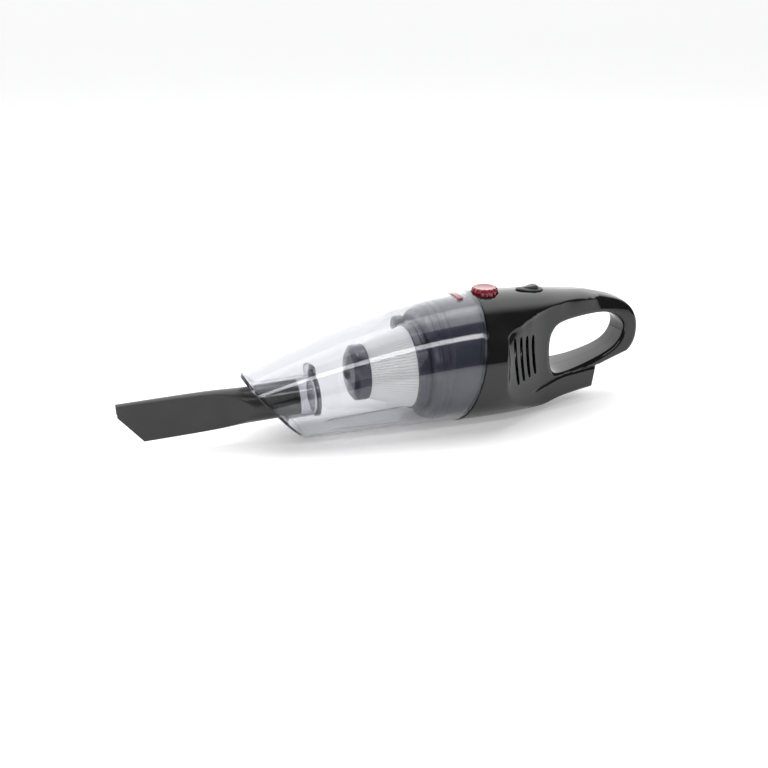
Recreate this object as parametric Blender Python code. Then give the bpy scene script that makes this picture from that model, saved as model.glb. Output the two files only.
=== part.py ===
"""A rechargeable handheld vacuum cleaner, built as separate sub-parts that fit together.

The machine lies on its belly along X: the crevice nozzle points to -X, the handle loop to +X, and +Z is up.
Lengths are in metres. Every sub-part is its own object, and all of them hang from one empty, which puts the
middle of the whole length over the origin.
"""
import math

import bmesh
import bpy
import numpy as np
from mathutils import Matrix, Vector

MM = 0.001
GAP = 0.3 * MM              # running clearance between neighbours
TINY = 0.001 * MM           # points closer than this are the same point

# ---- driving dimensions ----------------------------------------------------------------------------------
MIDDLE_X = 3.11 * MM        # shift that centres the whole length on the origin

SEAM_FOOT_X = 45.0 * MM     # where the cup meets the housing, at floor level
SEAM_LEAN = 0.20            # the seam leans back by this much per unit of height
MOUTH_FOOT_X = -78.6 * MM   # lowest corner of the slanted cup mouth
MOUTH_LEAN = -0.87          # the mouth leans forward by this much per unit of height

BODY_RADIUS = 51.8 * MM     # fullest radius of the round body
NOSE_NARROWING = 24.9 * MM  # how much smaller the radius is at the nose end of the cup
FULL_X = 70.0 * MM          # where the body reaches its fullest radius
NOSE_X = -125.0 * MM        # where it is narrowest
TAPER_POWER = 1.646         # the way that the radius falls off between them

CUP_WALL = 2.0 * MM
HOUSING_WALL = 2.2 * MM
AXIS_Z = 47.6 * MM          # motor, fan and body axis
FILTER_Z = 46.0 * MM        # filter axis

TUBE_TILT = math.radians(1.7)
TUBE_END = Vector((-70.0 * MM, 0.0, 32.3 * MM))   # rear end of the inlet tube, on its axis
TUBE_BORE = 14.5 * MM
TUBE_OUTER = 16.4 * MM
FLAP_PIN = Vector((-69.0 * MM, 0.0, 54.0 * MM))   # hinge of the flap behind the tube
FLAP_PIN_RADIUS = 0.9 * MM
NOZZLE_RADIUS = 14.0 * MM
NOZZLE_TIP = 149.0 * MM     # from the tube's rear end to the nozzle tip, along the nozzle
NOZZLE_INSERT = 12.0 * MM   # the nozzle stops this far short of the tube's rear end

BUTTON_X = 75.5 * MM
BUTTON_RADIUS = 10.7 * MM
BUTTON_TOP = 105.6 * MM
LATCH_X = 51.0 * MM
SWITCH_X = 115.0 * MM
FAN_X = 76.0 * MM           # middle of the fan
LEAF_LENGTH = 24.0 * MM     # the switch's leaf-shaped bezel
LEAF_WIDTH = 8.6 * MM
LEAF_TOP = 1.7 * MM
LEAF_SHARES = [0.0, 0.06, 0.16, 0.3, 0.45, 0.6, 0.74, 0.86, 0.95, 1.0]
SWITCH_TILT = math.radians(4.3)   # slope of the top line under the switch

CELL_Z = 18.2 * MM          # axis height of the battery cells
SOCKET_Z = 18.0 * MM        # axis height of the charging socket

HOLE_CENTRE = (160.0 * MM, 56.0 * MM)
EDGE_ROUND = 4.0 * MM       # rounding of the handle's edges
SPLIT = 0.1 * MM            # each half of the housing stops this far from the middle plane

# side-view places (x, z) of the housing screws, in millimetres
SCREWS = [(92.0, 77.5), (132.0, 82.0), (150.0, 21.0), (205.6, 56.5)]


# ---- scene, materials and small builders -----------------------------------------------------------------
def clear_scene():
    """Remove every object that the file holds."""
    for thing in list(bpy.data.objects):
        bpy.data.objects.remove(thing, do_unlink=True)


def plain(name, colour, roughness, metallic=0.0, transmission=0.0):
    """A Principled material with one colour."""
    material = bpy.data.materials.new(name)
    material.use_nodes = True
    shader = material.node_tree.nodes["Principled BSDF"]
    shader.inputs["Base Color"].default_value = (*colour, 1.0)
    shader.inputs["Roughness"].default_value = roughness
    shader.inputs["Metallic"].default_value = metallic
    shader.inputs["Transmission Weight"].default_value = transmission
    return material


def make_materials():
    """Every finish of the machine, by name."""
    return {
        "gloss_black": plain("gloss_black", (0.012, 0.012, 0.012), 0.12),
        "satin_black": plain("satin_black", (0.025, 0.025, 0.025), 0.35),
        "grey_switch": plain("grey_switch", (0.06, 0.06, 0.062), 0.4),
        "clear": plain("clear", (0.86, 0.86, 0.9), 0.05, transmission=1.0),
        "smoke_rubber": plain("smoke_rubber", (0.12, 0.12, 0.14), 0.5),
        "slate": plain("slate", (0.07, 0.075, 0.1), 0.3),
        "red": plain("red", (0.35, 0.01, 0.03), 0.2),
        "paper": plain("paper", (0.85, 0.85, 0.82), 0.9),
        "steel": plain("steel", (0.55, 0.55, 0.56), 0.3, metallic=1.0),
        "rubber": plain("rubber", (0.02, 0.02, 0.02), 0.7),
        "white_plastic": plain("white_plastic", (0.7, 0.7, 0.68), 0.45),
        "fan_grey": plain("fan_grey", (0.25, 0.25, 0.26), 0.4),
        "cell_wrap": plain("cell_wrap", (0.05, 0.16, 0.32), 0.35),
        "board_green": plain("board_green", (0.02, 0.16, 0.06), 0.5),
        "magnet": plain("magnet", (0.05, 0.05, 0.055), 0.5, metallic=0.6),
    }


def finish(name, bm, material, smooth_angle=40.0):
    """Turn a bmesh into an object with outward faces and smooth shading up to an angle."""
    bmesh.ops.remove_doubles(bm, verts=bm.verts, dist=TINY)
    bmesh.ops.recalc_face_normals(bm, faces=bm.faces)
    mesh = bpy.data.meshes.new(name)
    bm.to_mesh(mesh)
    bm.free()
    mesh.shade_smooth()
    mesh.set_sharp_from_angle(angle=math.radians(smooth_angle))
    if material is not None:
        mesh.materials.append(material)
    thing = bpy.data.objects.new(name, mesh)
    bpy.context.collection.objects.link(thing)
    return thing


def loft(name, rings, material, loop=False):
    """Skin a row of closed rings of points; the ends are capped unless the row itself is a loop."""
    bm = bmesh.new()
    rows = [[bm.verts.new(point) for point in ring] for ring in rings]
    pairs = list(zip(rows[:-1], rows[1:]))
    if loop:
        pairs.append((rows[-1], rows[0]))
    count = len(rows[0])
    for near, far in pairs:
        for i in range(count):
            j = (i + 1) % count
            bm.faces.new((near[i], near[j], far[j], far[i]))
    if not loop:
        bm.faces.new(rows[0])
        bm.faces.new(rows[-1])
    return finish(name, bm, material)


def turned(name, profile, centre, material, segments=32, axis="X"):
    """Spin a closed profile of (along, radius) points about a line through centre along an axis."""
    bm = bmesh.new()
    verts = [bm.verts.new((along, 0.0, radius)) for along, radius in profile]
    edges = [bm.edges.new((verts[i - 1], verts[i])) for i in range(len(verts))
             if profile[i - 1][1] > 0.0 or profile[i][1] > 0.0]
    bmesh.ops.spin(bm, geom=verts + edges, cent=(0, 0, 0), axis=(1, 0, 0), angle=math.tau,
                   steps=segments, use_merge=True)
    turn = {"X": Matrix.Identity(4), "Y": Matrix.Rotation(math.pi / 2, 4, "Z"),
            "Z": Matrix.Rotation(-math.pi / 2, 4, "Y")}[axis]
    bmesh.ops.transform(bm, matrix=turn, verts=bm.verts)
    thing = finish(name, bm, material)
    thing.location = centre
    return thing


def rod(name, radius, start, end, material, segments=24):
    """A solid round bar from one point to another."""
    start = Vector(start)
    end = Vector(end)
    bm = bmesh.new()
    bmesh.ops.create_cone(bm, cap_ends=True, segments=segments, radius1=radius, radius2=radius,
                          depth=(end - start).length)
    turn = Vector((0, 0, 1)).rotation_difference(end - start).to_matrix().to_4x4()
    bmesh.ops.transform(bm, matrix=Matrix.Translation((start + end) / 2) @ turn, verts=bm.verts)
    return finish(name, bm, material)


def box(name, low, high, material, bevel=0.0):
    """A block between two corners, with its edges rounded off by a bevel."""
    low = Vector(low)
    high = Vector(high)
    bm = bmesh.new()
    bmesh.ops.create_cube(bm, size=1.0)
    bmesh.ops.transform(bm, matrix=Matrix.Diagonal((*(high - low), 1.0)), verts=bm.verts)
    bmesh.ops.transform(bm, matrix=Matrix.Translation((low + high) / 2), verts=bm.verts)
    if bevel > 0.0:
        bmesh.ops.bevel(bm, geom=bm.edges, offset=bevel, segments=1, affect="EDGES")
    return finish(name, bm, material)


def plate(name, outline, low, high, material, across="Y"):
    """Extrude a flat outline from low to high: across Y the outline is (x, z), across Z it is (x, y)."""
    bm = bmesh.new()
    if across == "Y":
        verts = [bm.verts.new((x, low, z)) for x, z in outline]
        push = Vector((0.0, high - low, 0.0))
    else:
        verts = [bm.verts.new((x, y, low)) for x, y in outline]
        push = Vector((0.0, 0.0, high - low))
    face = bm.faces.new(verts)
    grown = bmesh.ops.extrude_face_region(bm, geom=[face])
    moved = [item for item in grown["geom"] if isinstance(item, bmesh.types.BMVert)]
    bmesh.ops.translate(bm, verts=moved, vec=push)
    return finish(name, bm, material)


def boolean(target, other, operation):
    """Combine another object into the target with a live Boolean modifier, and hide that object."""
    modifier = target.modifiers.new(operation.lower(), "BOOLEAN")
    modifier.operation = operation
    modifier.solver = "EXACT"
    modifier.object = other
    other.hide_render = True
    other.display_type = "WIRE"


def cut(target, *others):
    """Take each of the other shapes away from the target."""
    for other in others:
        boolean(target, other, "DIFFERENCE")


def join(target, *others):
    """Weld each of the other shapes onto the target."""
    for other in others:
        boolean(target, other, "UNION")


def gather(name, shapes):
    """Put several shapes that don't touch each other into one object, for a single cut or weld."""
    bm = bmesh.new()
    for shape in shapes:
        bm.from_mesh(shape.data)
        bpy.data.objects.remove(shape, do_unlink=True)
    return finish(name, bm, None)


def stations(x, places, values):
    """A smooth curve through a few stations: cubic Hermite pieces with slopes from the neighbours."""
    places = np.asarray(places, float)
    values = np.asarray(values, float)
    x = np.clip(np.asarray(x, float), places[0], places[-1])
    steps = np.diff(values) / np.diff(places)
    inner = 0.5 * (steps[:-1] + steps[1:])
    inner[steps[:-1] * steps[1:] <= 0.0] = 0.0
    slopes = np.concatenate(([steps[0]], inner, [steps[-1]]))
    i = np.clip(np.searchsorted(places, x) - 1, 0, len(places) - 2)
    width = places[i + 1] - places[i]
    t = (x - places[i]) / width
    return (values[i] * (2 * t**3 - 3 * t**2 + 1) + slopes[i] * width * (t**3 - 2 * t**2 + t)
            + values[i + 1] * (3 * t**2 - 2 * t**3) + slopes[i + 1] * width * (t**3 - t**2))


# ---- the round body that the cup, the holder and the housing share ----------------------------------------
def body_radius(x):
    """Radius of the round body at x: a power curve from the nose to the full radius."""
    share = np.clip((FULL_X - x) / (FULL_X - NOSE_X), 0.0, 1.2)
    return BODY_RADIUS - NOSE_NARROWING * share**TAPER_POWER


def body_axis(x):
    """Height of the round body's axis, which sits a little lower than its radius, so the belly is flat."""
    return body_radius(x) - (0.35 * MM + 1.3 * MM * (x + 78.0 * MM) / (135.0 * MM))


def body_ring(foot_x, lean, inset, floor, arc_points=15, flat_points=2):
    """One closed section of the body in a plane that leans: a circle cut off flat at the floor."""
    x = np.full(1, foot_x)
    radius = body_radius(x) - inset
    axis = body_axis(x)
    start = np.arccos(np.clip((axis - floor) / radius, -1.0, 1.0))[0]
    angle = np.linspace(start, math.pi, arc_points)
    x = np.full(arc_points, foot_x)
    for _ in range(8):
        radius = body_radius(x) - inset
        z = body_axis(x) - radius * np.cos(angle)
        x = foot_x + lean * z
    y = radius * np.sin(angle)
    z = np.maximum(z, floor)
    z[0] = floor
    flat_y = np.linspace(0.0, y[0], flat_points + 1)[:-1]
    flat_x = np.full(flat_points, foot_x + lean * floor)
    side = np.column_stack((np.concatenate((flat_x, x)), np.concatenate((flat_y, y)),
                            np.concatenate((np.full(flat_points, floor), z))))
    mirror = side[1:-1][::-1] * np.array([1.0, -1.0, 1.0])
    return np.vstack((side, mirror))


def body_rings(foot_start, lean_start, foot_end, lean_end, count, inset, floor):
    """Sections from one leaning plane to another, a little closer together near the start."""
    rings = []
    for share in np.linspace(0.0, 1.0, count)**1.15:
        foot = foot_start + (foot_end - foot_start) * share
        lean = lean_start + (lean_end - lean_start) * share
        rings.append(body_ring(foot, lean, inset, floor))
    return rings


# ---- nozzle frame ------------------------------------------------------------------------------------------
def on_tube(along, height=0.0, side=0.0):
    """A point in the tube's own frame: along runs out of the mouth from the tube's rear end."""
    x = TUBE_END.x - along * math.cos(TUBE_TILT) - height * math.sin(TUBE_TILT)
    z = TUBE_END.z - along * math.sin(TUBE_TILT) + height * math.cos(TUBE_TILT)
    return Vector((x, side, z))


# ---- dust cup ----------------------------------------------------------------------------------------------
def make_dust_cup(materials):
    """The clear cup: a tapered shell with a slanted front wall, the inlet tube through it and hinge ears."""
    outer = body_rings(MOUTH_FOOT_X, MOUTH_LEAN, SEAM_FOOT_X - 2 * GAP, SEAM_LEAN, 10, 0.0, 0.0)
    cup = loft("dust_cup", outer, materials["clear"])
    front = MOUTH_FOOT_X + 2.9 * MM
    inner = body_rings(front, MOUTH_LEAN, SEAM_FOOT_X + 6.0 * MM, SEAM_LEAN, 10, CUP_WALL, CUP_WALL)
    hollow = loft("cup_hollow", inner, None)
    tube = rod("cup_tube", TUBE_OUTER, on_tube(0.0), on_tube(52.0 * MM), None, 40)
    mouth = plate("cup_mouth_trim", mouth_trim_outline(), -40.0 * MM, 40.0 * MM, None)
    cut(tube, mouth)
    bore = rod("cup_bore", TUBE_BORE, on_tube(-5.0 * MM), on_tube(90.0 * MM), None, 40)
    ears = []
    for side in (-1, 1):
        near = side * 4.9 * MM
        far = side * 8.4 * MM
        ears.append(plate("cup_ear", ear_outline(), min(near, far), max(near, far), None))
    pin_hole = rod("cup_pin_hole", FLAP_PIN_RADIUS + GAP, FLAP_PIN - Vector((0, 10 * MM, 0)),
                   FLAP_PIN + Vector((0, 10 * MM, 0)), None, 12)
    window = box("cup_latch_window", (LATCH_X - 2.9 * MM, -9.5 * MM, 85.0 * MM),
                 (LATCH_X + 2.9 * MM, 9.5 * MM, 110.0 * MM), None)
    cut(cup, hollow)
    join(cup, tube, gather("cup_ears", ears))
    cut(cup, bore, pin_hole, window)
    return cup


def ear_outline():
    """Side view of one hinge ear: a stem on the tube that turns back over the flap's edge to the pin."""
    front = FLAP_PIN.x - 5.0 * MM
    step = TUBE_END.x - 0.3 * MM
    low = TUBE_END.z + 11.0 * MM
    ledge = FLAP_PIN.z - 2.4 * MM
    back = FLAP_PIN.x + 2.4 * MM
    top = FLAP_PIN.z + 2.4 * MM
    return [(front, low), (step, low), (step, ledge), (back, ledge), (back, top), (step, top),
            (front, FLAP_PIN.z - 1.5 * MM)]


def mouth_trim_outline():
    """Side view of everything in front of the mouth plane, a hair inside it."""
    depth = 0.15 * MM
    top = 90.0 * MM
    low = -20.0 * MM
    return [(MOUTH_FOOT_X + MOUTH_LEAN * low + depth, low), (MOUTH_FOOT_X + MOUTH_LEAN * top + depth, top),
            (-220.0 * MM, top), (-220.0 * MM, low)]


def make_flap(materials):
    """The check flap that closes the tube's rear end, its knuckle and its hinge pin."""
    face = on_tube(-GAP)
    back = on_tube(-GAP - 1.8 * MM)
    flap = rod("inlet_flap", 17.5 * MM, face, back, materials["smoke_rubber"], 40)
    knuckle = rod("flap_knuckle", 2.4 * MM, FLAP_PIN - Vector((0, 4.5 * MM, 0)),
                  FLAP_PIN + Vector((0, 4.5 * MM, 0)), None, 16)
    web = box("flap_web", (FLAP_PIN.x - 0.9 * MM, -4.5 * MM, TUBE_END.z + 12.0 * MM),
              (FLAP_PIN.x + 0.5 * MM, 4.5 * MM, FLAP_PIN.z), None)
    bore = rod("flap_bore", FLAP_PIN_RADIUS + GAP, FLAP_PIN - Vector((0, 10 * MM, 0)),
               FLAP_PIN + Vector((0, 10 * MM, 0)), None, 12)
    join(flap, knuckle, web)
    cut(flap, bore)
    pin = rod("flap_hinge_pin", FLAP_PIN_RADIUS, FLAP_PIN - Vector((0, 8.2 * MM, 0)),
              FLAP_PIN + Vector((0, 8.2 * MM, 0)), materials["steel"], 12)
    return flap, pin


# ---- crevice nozzle ----------------------------------------------------------------------------------------
def nozzle_ring(along, inset, points=28):
    """A nozzle section: an upright oval whose sides are cut flat, in the tube's own frame."""
    half_height = stations(along, [0.0, 48 * MM, 80 * MM, 150 * MM],
                           [NOZZLE_RADIUS, NOZZLE_RADIUS, 15.6 * MM, 16.2 * MM]) - inset
    half_width = stations(along, [0.0, 48 * MM, 80 * MM, 150 * MM],
                          [NOZZLE_RADIUS, NOZZLE_RADIUS, 13.0 * MM, 11.0 * MM]) - inset
    flat = stations(along, [44 * MM, 52 * MM, 62 * MM, 72 * MM, 84 * MM, 150 * MM],
                    [15.0 * MM, 12.6 * MM, 8.4 * MM, 5.6 * MM, 4.4 * MM, 3.8 * MM]) - inset
    ring = []
    for i in range(points):
        angle = math.tau * (i + 0.5) / points
        height = half_height * math.cos(angle)
        side = float(np.clip(half_width * math.sin(angle), -flat, flat))
        ring.append(on_tube(along, height, side))
    return ring


def make_nozzle(materials):
    """The crevice nozzle: a round spigot that flattens into a thin blade with a slanted tip."""
    lengths = [NOZZLE_INSERT, 46 * MM, 50 * MM, 55 * MM, 60 * MM, 66 * MM, 72 * MM, 80 * MM, 95 * MM,
               NOZZLE_TIP]
    nozzle = loft("crevice_nozzle", [nozzle_ring(s, 0.0) for s in lengths], materials["satin_black"])
    wall = 1.3 * MM
    lengths[0] -= 4 * MM
    lengths[-1] += 4 * MM
    hollow = loft("nozzle_hollow", [nozzle_ring(s, wall) for s in lengths], None)
    corner = on_tube(NOZZLE_TIP, 7.0 * MM)
    low = on_tube(NOZZLE_TIP - 18.5 * MM, -16.6 * MM)
    run = low - corner
    tip = plate("nozzle_tip_trim", [(corner.x, corner.z), (low.x + run.x, low.z + run.z),
                                    (corner.x - 40 * MM, low.z + run.z), (corner.x - 40 * MM, corner.z)],
                -12 * MM, 12 * MM, None)
    cut(nozzle, hollow, tip)
    return nozzle


# ---- filter ------------------------------------------------------------------------------------------------
def filter_turned(name, profile, material, segments=32):
    """A piece turned about the filter's axis, with its profile in millimetres."""
    return turned(name, [(x * MM, r * MM) for x, r in profile], (0.0, 0.0, FILTER_Z), material, segments)


def make_filter(materials):
    """The pleated cone with its front cap, its base ring and the cage inside it."""
    pleats = filter_turned("filter_pleats", [(-26.7, 18.0), (-26.7, 21.6), (7.7, 32.8), (7.7, 26.4)],
                           materials["paper"])
    cap = filter_turned("filter_cap", [(-27.0, 22.1), (-36.0, 22.1), (-39.6, 17.0), (-40.8, 9.0), (-41.3, 4.5),
                                       (-43.6, 3.4), (-43.6, 0.0), (-38.6, 0.0), (-38.6, 17.8), (-34.0, 19.9),
                                       (-30.0, 19.9), (-30.0, 14.0), (-27.0, 14.0)], materials["slate"])
    ring = filter_turned("filter_base_ring", [(8.0, 26.0), (8.0, 34.2), (13.0, 34.2), (13.0, 36.6),
                                              (16.6, 36.6), (16.6, 33.6), (27.0, 33.6), (27.0, 31.4),
                                              (16.0, 31.4), (12.0, 26.0)], materials["slate"])
    cage = filter_turned("filter_cage", [(-26.4, 12.4), (-26.4, 14.4), (-23.4, 14.4), (-23.4, 12.4)],
                         materials["white_plastic"], 24)
    rear = filter_turned("cage_rear_ring", [(5.0, 21.6), (5.0, 23.6), (7.6, 23.6), (7.6, 21.6)], None, 24)
    join(cage, rear)
    bars = []
    for i in range(6):
        angle = math.tau * i / 6
        across = Vector((0.0, math.sin(angle), math.cos(angle)))
        centre = Vector((0.0, 0.0, FILTER_Z))
        start = centre + across * 13.4 * MM + Vector((-25.5 * MM, 0, 0))
        end = centre + across * 22.6 * MM + Vector((6.5 * MM, 0, 0))
        bars.append(rod("cage_bar", 0.9 * MM, start, end, None, 6))
    join(cage, gather("cage_bars", bars))
    return [pleats, cap, ring, cage]


# ---- filter holder -----------------------------------------------------------------------------------------
HOLDER_FRONT = 17.0 * MM
HOLDER_CLEAR = 0.5 * MM


def make_holder(materials):
    """The dark bulkhead: a skirt that plugs the cup and the housing, a front wall and a channel for the latch."""
    slack = CUP_WALL + HOLDER_CLEAR
    floor = CUP_WALL + 0.4 * MM
    steps = [(17.0, 0.0, 3.2), (19.0, 0.01, 1.4), (22.0, 0.02, 1.4), (22.6, 0.02, 0.0), (25.6, 0.03, 0.0),
             (26.2, 0.03, 1.4), (29.0, 0.05, 1.4), (29.6, 0.05, 0.0), (43.0, 0.19, 0.0), (44.0, 0.19, 1.3),
             (45.8, 0.2, 1.3), (46.4, 0.2, 2.7), (52.0, 0.2, 2.7)]
    rings = [body_ring(x * MM, lean, slack + drop * MM, floor) for x, lean, drop in steps]
    holder = loft("filter_holder", rings, materials["slate"])
    inner = [body_ring(x * MM, lean, slack + 3.6 * MM, floor + 2.0 * MM)
             for x, lean in ((19.2, 0.01), (30.0, 0.05), (44.0, 0.19), (56.0, 0.2))]
    hollow = loft("holder_hollow", inner, None)
    bore = turned("holder_bore", [(10 * MM, 0), (10 * MM, 33.9 * MM), (30 * MM, 33.9 * MM), (30 * MM, 0)],
                  (0, 0, FILTER_Z), None, 40)
    channel = box("holder_channel", (LATCH_X - 7.0 * MM, -12.6 * MM, 86.0 * MM),
                  (SEAM_FOOT_X + 27.5 * MM, 12.6 * MM, 92.6 * MM), None)
    slot = box("holder_slot", (LATCH_X - 5.0 * MM, -10.6 * MM, 88.0 * MM), (90 * MM, 10.6 * MM, 110 * MM), None)
    rear = plate("holder_rear_trim", seam_outline(8.0 * MM), -60 * MM, 60 * MM, None)
    seal_groove = seal_band("holder_seal_groove", 1.2 * MM, slack - 0.4 * MM, slack + 1.5 * MM, None)
    cut(holder, hollow, bore)
    join(holder, channel)
    cut(holder, slot, rear, seal_groove)


def seam_outline(behind):
    """Side view of everything further back than a plane parallel to the seam."""
    low = -10.0 * MM
    high = 120.0 * MM
    foot = SEAM_FOOT_X + behind
    return [(foot + SEAM_LEAN * low, low), (foot + 200 * MM, low), (foot + 200 * MM, high),
            (foot + SEAM_LEAN * high, high)]


def seal_band(name, half_width, outer_inset, inner_inset, material):
    """A band that follows the seam, from an outer to an inner depth below the body's surface."""
    middle = SEAM_FOOT_X - 4.5 * MM
    lean = SEAM_LEAN * 0.97
    rings = []
    for foot, inset in ((middle - half_width, outer_inset), (middle + half_width, outer_inset),
                        (middle + half_width, inner_inset), (middle - half_width, inner_inset)):
        rings.append(body_ring(foot, lean, inset, inset))
    return loft(name, rings, material, loop=True)


def make_seal(materials):
    """The rubber ring in the holder's groove, which the cup slides over."""
    slack = CUP_WALL + HOLDER_CLEAR
    seal = seal_band("cup_seal", 0.9 * MM, slack, slack + 1.2 * MM, materials["rubber"])
    gap = box("seal_gap", (30 * MM, -11.2 * MM, 80 * MM), (80 * MM, 11.2 * MM, 110 * MM), None)
    cut(seal, gap)


# ---- housing -----------------------------------------------------------------------------------------------
def spine_top(x):
    """Height of the housing's top line."""
    places = np.array([40, 57, 70, 95, 125, 150, 166, 181, 196, 215]) * MM
    heights = np.array([100.2, 101.0, 101.3, 100.6, 98.9, 96.2, 94.4, 91.2, 86.4, 77.0]) * MM
    return stations(x, places, heights)


def barrel_radius(x):
    """Radius of the housing's round barrel, which carries on as the crown of the handle."""
    return stations(x, np.array([40, 70, 110, 160, 215]) * MM, np.array([51.2, 51.8, 50.4, 46.0, 44.0]) * MM)


def side_width(x):
    """Half the width between the flat side panels."""
    places = np.array([60, 75, 84, 104, 117, 129, 143, 164, 200, 220]) * MM
    widths = np.array([62, 50.3, 44.0, 33.0, 27.2, 23.8, 20.6, 17.0, 13.2, 12.2]) * MM
    return stations(x, places, widths)


def crease_height(x):
    """Height of the crease in which the side panel leaves the round barrel."""
    places = np.array([60, 73.5, 75, 77, 79, 84, 91, 97, 105, 117, 129, 143, 164, 178, 192, 220]) * MM
    heights = np.array([40, 48, 64, 76, 79.3, 82, 83.5, 86, 88, 90.5, 92, 93, 91.5, 92, 95, 95]) * MM
    return np.minimum(stations(x, places, heights), spine_top(x) - 1.2 * MM)


def half_width(x, z, inset=0.0):
    """Half the housing's width at a point of its side view: the round barrel, trimmed by the side panels."""
    radius = barrel_radius(x)
    centre = spine_top(x) - radius
    barrel = np.sqrt(np.maximum((radius - inset)**2 - (z - centre)**2, 0.0))
    crease = crease_height(x)
    at_crease = np.sqrt(np.maximum(radius**2 - (crease - centre)**2, 0.0))
    width = side_width(x)
    middle = stations(x, np.array([60, 75, 117, 143, 164, 185, 220]) * MM,
                      np.array([34, 50, 52, 65, 70, 67, 52]) * MM)
    lift = np.maximum((z - middle) / np.maximum(crease - middle, 8.0 * MM), 0.0)
    fall = np.maximum(width - at_crease, 0.0) * lift**3
    panel = np.where(z > crease, barrel + 0.8 * (z - crease), width - inset - fall)
    soft = 1.2 * MM + 3.0 * inset
    blended = 0.5 * (barrel + panel - np.sqrt((barrel - panel)**2 + soft**2))
    return np.maximum(np.where(x < 75.0 * MM, barrel, blended), 0.0)


def hole_outline(margin=0.0):
    """The finger hole in the side view, as (x, z) points, grown by a margin."""
    corners = [(124.9, 56.0, 15.0), (128.0, 69.5, 9.0), (140.0, 75.8, 12.0), (178.0, 77.2, 16.0),
               (196.0, 69.0, 8.0), (199.2, 58.0, 10.0), (190.0, 45.0, 14.0), (164.0, 35.2, 20.0),
               (138.0, 31.4, 8.0), (127.6, 37.0, 7.0)]
    points = np.array([(x, z) for x, z, _ in corners]) * MM
    return smooth_loop(points, 8, margin)


def smooth_loop(points, per_side, margin=0.0):
    """A closed smooth curve through the points: Catmull-Rom pieces, then moved outward by a margin."""
    count = len(points)
    t = np.linspace(0.0, 1.0, per_side, endpoint=False)[:, None]
    pieces = []
    for i in range(count):
        a, b, c, d = (points[(i + k - 1) % count] for k in range(4))
        pieces.append(0.5 * (2 * b + (c - a) * t + (2 * a - 5 * b + 4 * c - d) * t**2
                             + (3 * b - a - 3 * c + d) * t**3))
    curve = np.vstack(pieces)
    ahead = np.roll(curve, -1, axis=0) - np.roll(curve, 1, axis=0)
    normal = np.column_stack((-ahead[:, 1], ahead[:, 0]))
    normal /= np.linalg.norm(normal, axis=1)[:, None]
    return curve + normal * margin


def seam_crown():
    """The top point of the seam, in the side view."""
    x = SEAM_FOOT_X + SEAM_LEAN * 101.0 * MM
    return x, float(spine_top(x))


def rear_outline(inset=0.0):
    """The housing's outline from the handle's crown, round the rear and the foot, to the belly: (x, z)."""
    crown = [(x * MM, float(spine_top(x * MM)) - inset) for x in (150, 160, 170, 180)]
    bend = np.array([(189, 88.8), (198.6, 84.4), (207.2, 77.2), (212.0, 68.0), (213.2, 57.6), (211.4, 47.6),
                     (205.6, 39.6)]) * MM
    centre = np.array([188, 58]) * MM
    inward = (centre - bend) / np.linalg.norm(centre - bend, axis=1)[:, None]
    bend = bend + inward * inset
    foot = np.array([(174.8 - inset / MM, 30.0 + inset / MM), (174.0 - inset / MM, 27.6),
                     (171.2 - inset / MM, 12.2 + inset / MM)]) * MM
    return crown, bend, foot


def outer_outline(inset=0.0):
    """The whole side view of the housing as a closed polygon of (x, z), clockwise from the seam's top."""
    crown_x, crown_z = seam_crown()
    points = [(crown_x - SEAM_LEAN * inset, crown_z - inset)]
    points += [(x * MM, float(spine_top(x * MM)) - inset) for x in (70, 80, 90, 100, 110, 120, 130, 140)]
    crown, bend, foot = rear_outline(inset)
    points += crown
    points += [tuple(p) for p in bend]
    points += [tuple(p) for p in foot]
    points += [(x * MM, float(belly(x * MM)) + inset) for x in (164, 155, 145, 135, 125, 115, 105, 95, 80, 60)]
    points.append((SEAM_FOOT_X, inset))
    return np.array(points)


def belly(x):
    """Height of the housing's underside: flat on the floor, then rising towards the foot's rear edge."""
    return stations(x, np.array([40, 94, 106, 120, 135, 155, 172]) * MM,
                    np.array([0, 0, 2.4, 6.0, 9.0, 10.9, 12.2]) * MM)


def ray_hits(outline, angles):
    """Where rays from the hole's centre, at the given angles, meet a closed outline around it."""
    centre = np.array(HOLE_CENTRE)
    start = outline - centre
    end = np.roll(outline, -1, axis=0) - centre
    hits = []
    for angle in angles:
        ray = np.array([math.cos(angle), math.sin(angle)])
        cross_start = ray[0] * start[:, 1] - ray[1] * start[:, 0]
        cross_end = ray[0] * end[:, 1] - ray[1] * end[:, 0]
        share = cross_start / np.where(np.abs(cross_start - cross_end) < 1e-15, 1e-15, cross_start - cross_end)
        point = start + (end - start) * share[:, None]
        reach = point @ ray
        good = (share >= -1e-9) & (share <= 1 + 1e-9) & (reach > 0)
        hits.append(centre + ray * reach[good].max())
    return np.array(hits)


def housing_angles():
    """Ray angles about the hole's centre: evenly spaced in each stretch, with a ray on every corner."""
    corners = [seam_crown(), (189 * MM, 88.8 * MM), (213.2 * MM, 57.6 * MM),
               (205.6 * MM, 39.6 * MM), (174.8 * MM, 30.0 * MM), (171.2 * MM, 12.2 * MM), (94 * MM, 0.0),
               (SEAM_FOOT_X, 0.0)]
    parts = [11, 5, 4, 4, 2, 7, 5, 10]
    corner_angles = [math.atan2(z - HOLE_CENTRE[1], x - HOLE_CENTRE[0]) for x, z in corners]
    angles = []
    for i, part in enumerate(parts):
        start = corner_angles[i]
        end = corner_angles[(i + 1) % len(corner_angles)]
        while end >= start:
            end -= math.tau
        angles += list(np.linspace(start, end, part, endpoint=False))
    return np.array(angles)


def edge_drop(distance, rounding):
    """How far a rounded edge falls away at a distance from the outline: a quarter circle."""
    safe = np.maximum(rounding, 0.01 * MM)
    share = np.clip(1.0 - distance / safe, 0.0, 1.0)
    return safe * (1.0 - np.sqrt(np.maximum(1.0 - share**2, 0.0)))


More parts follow.
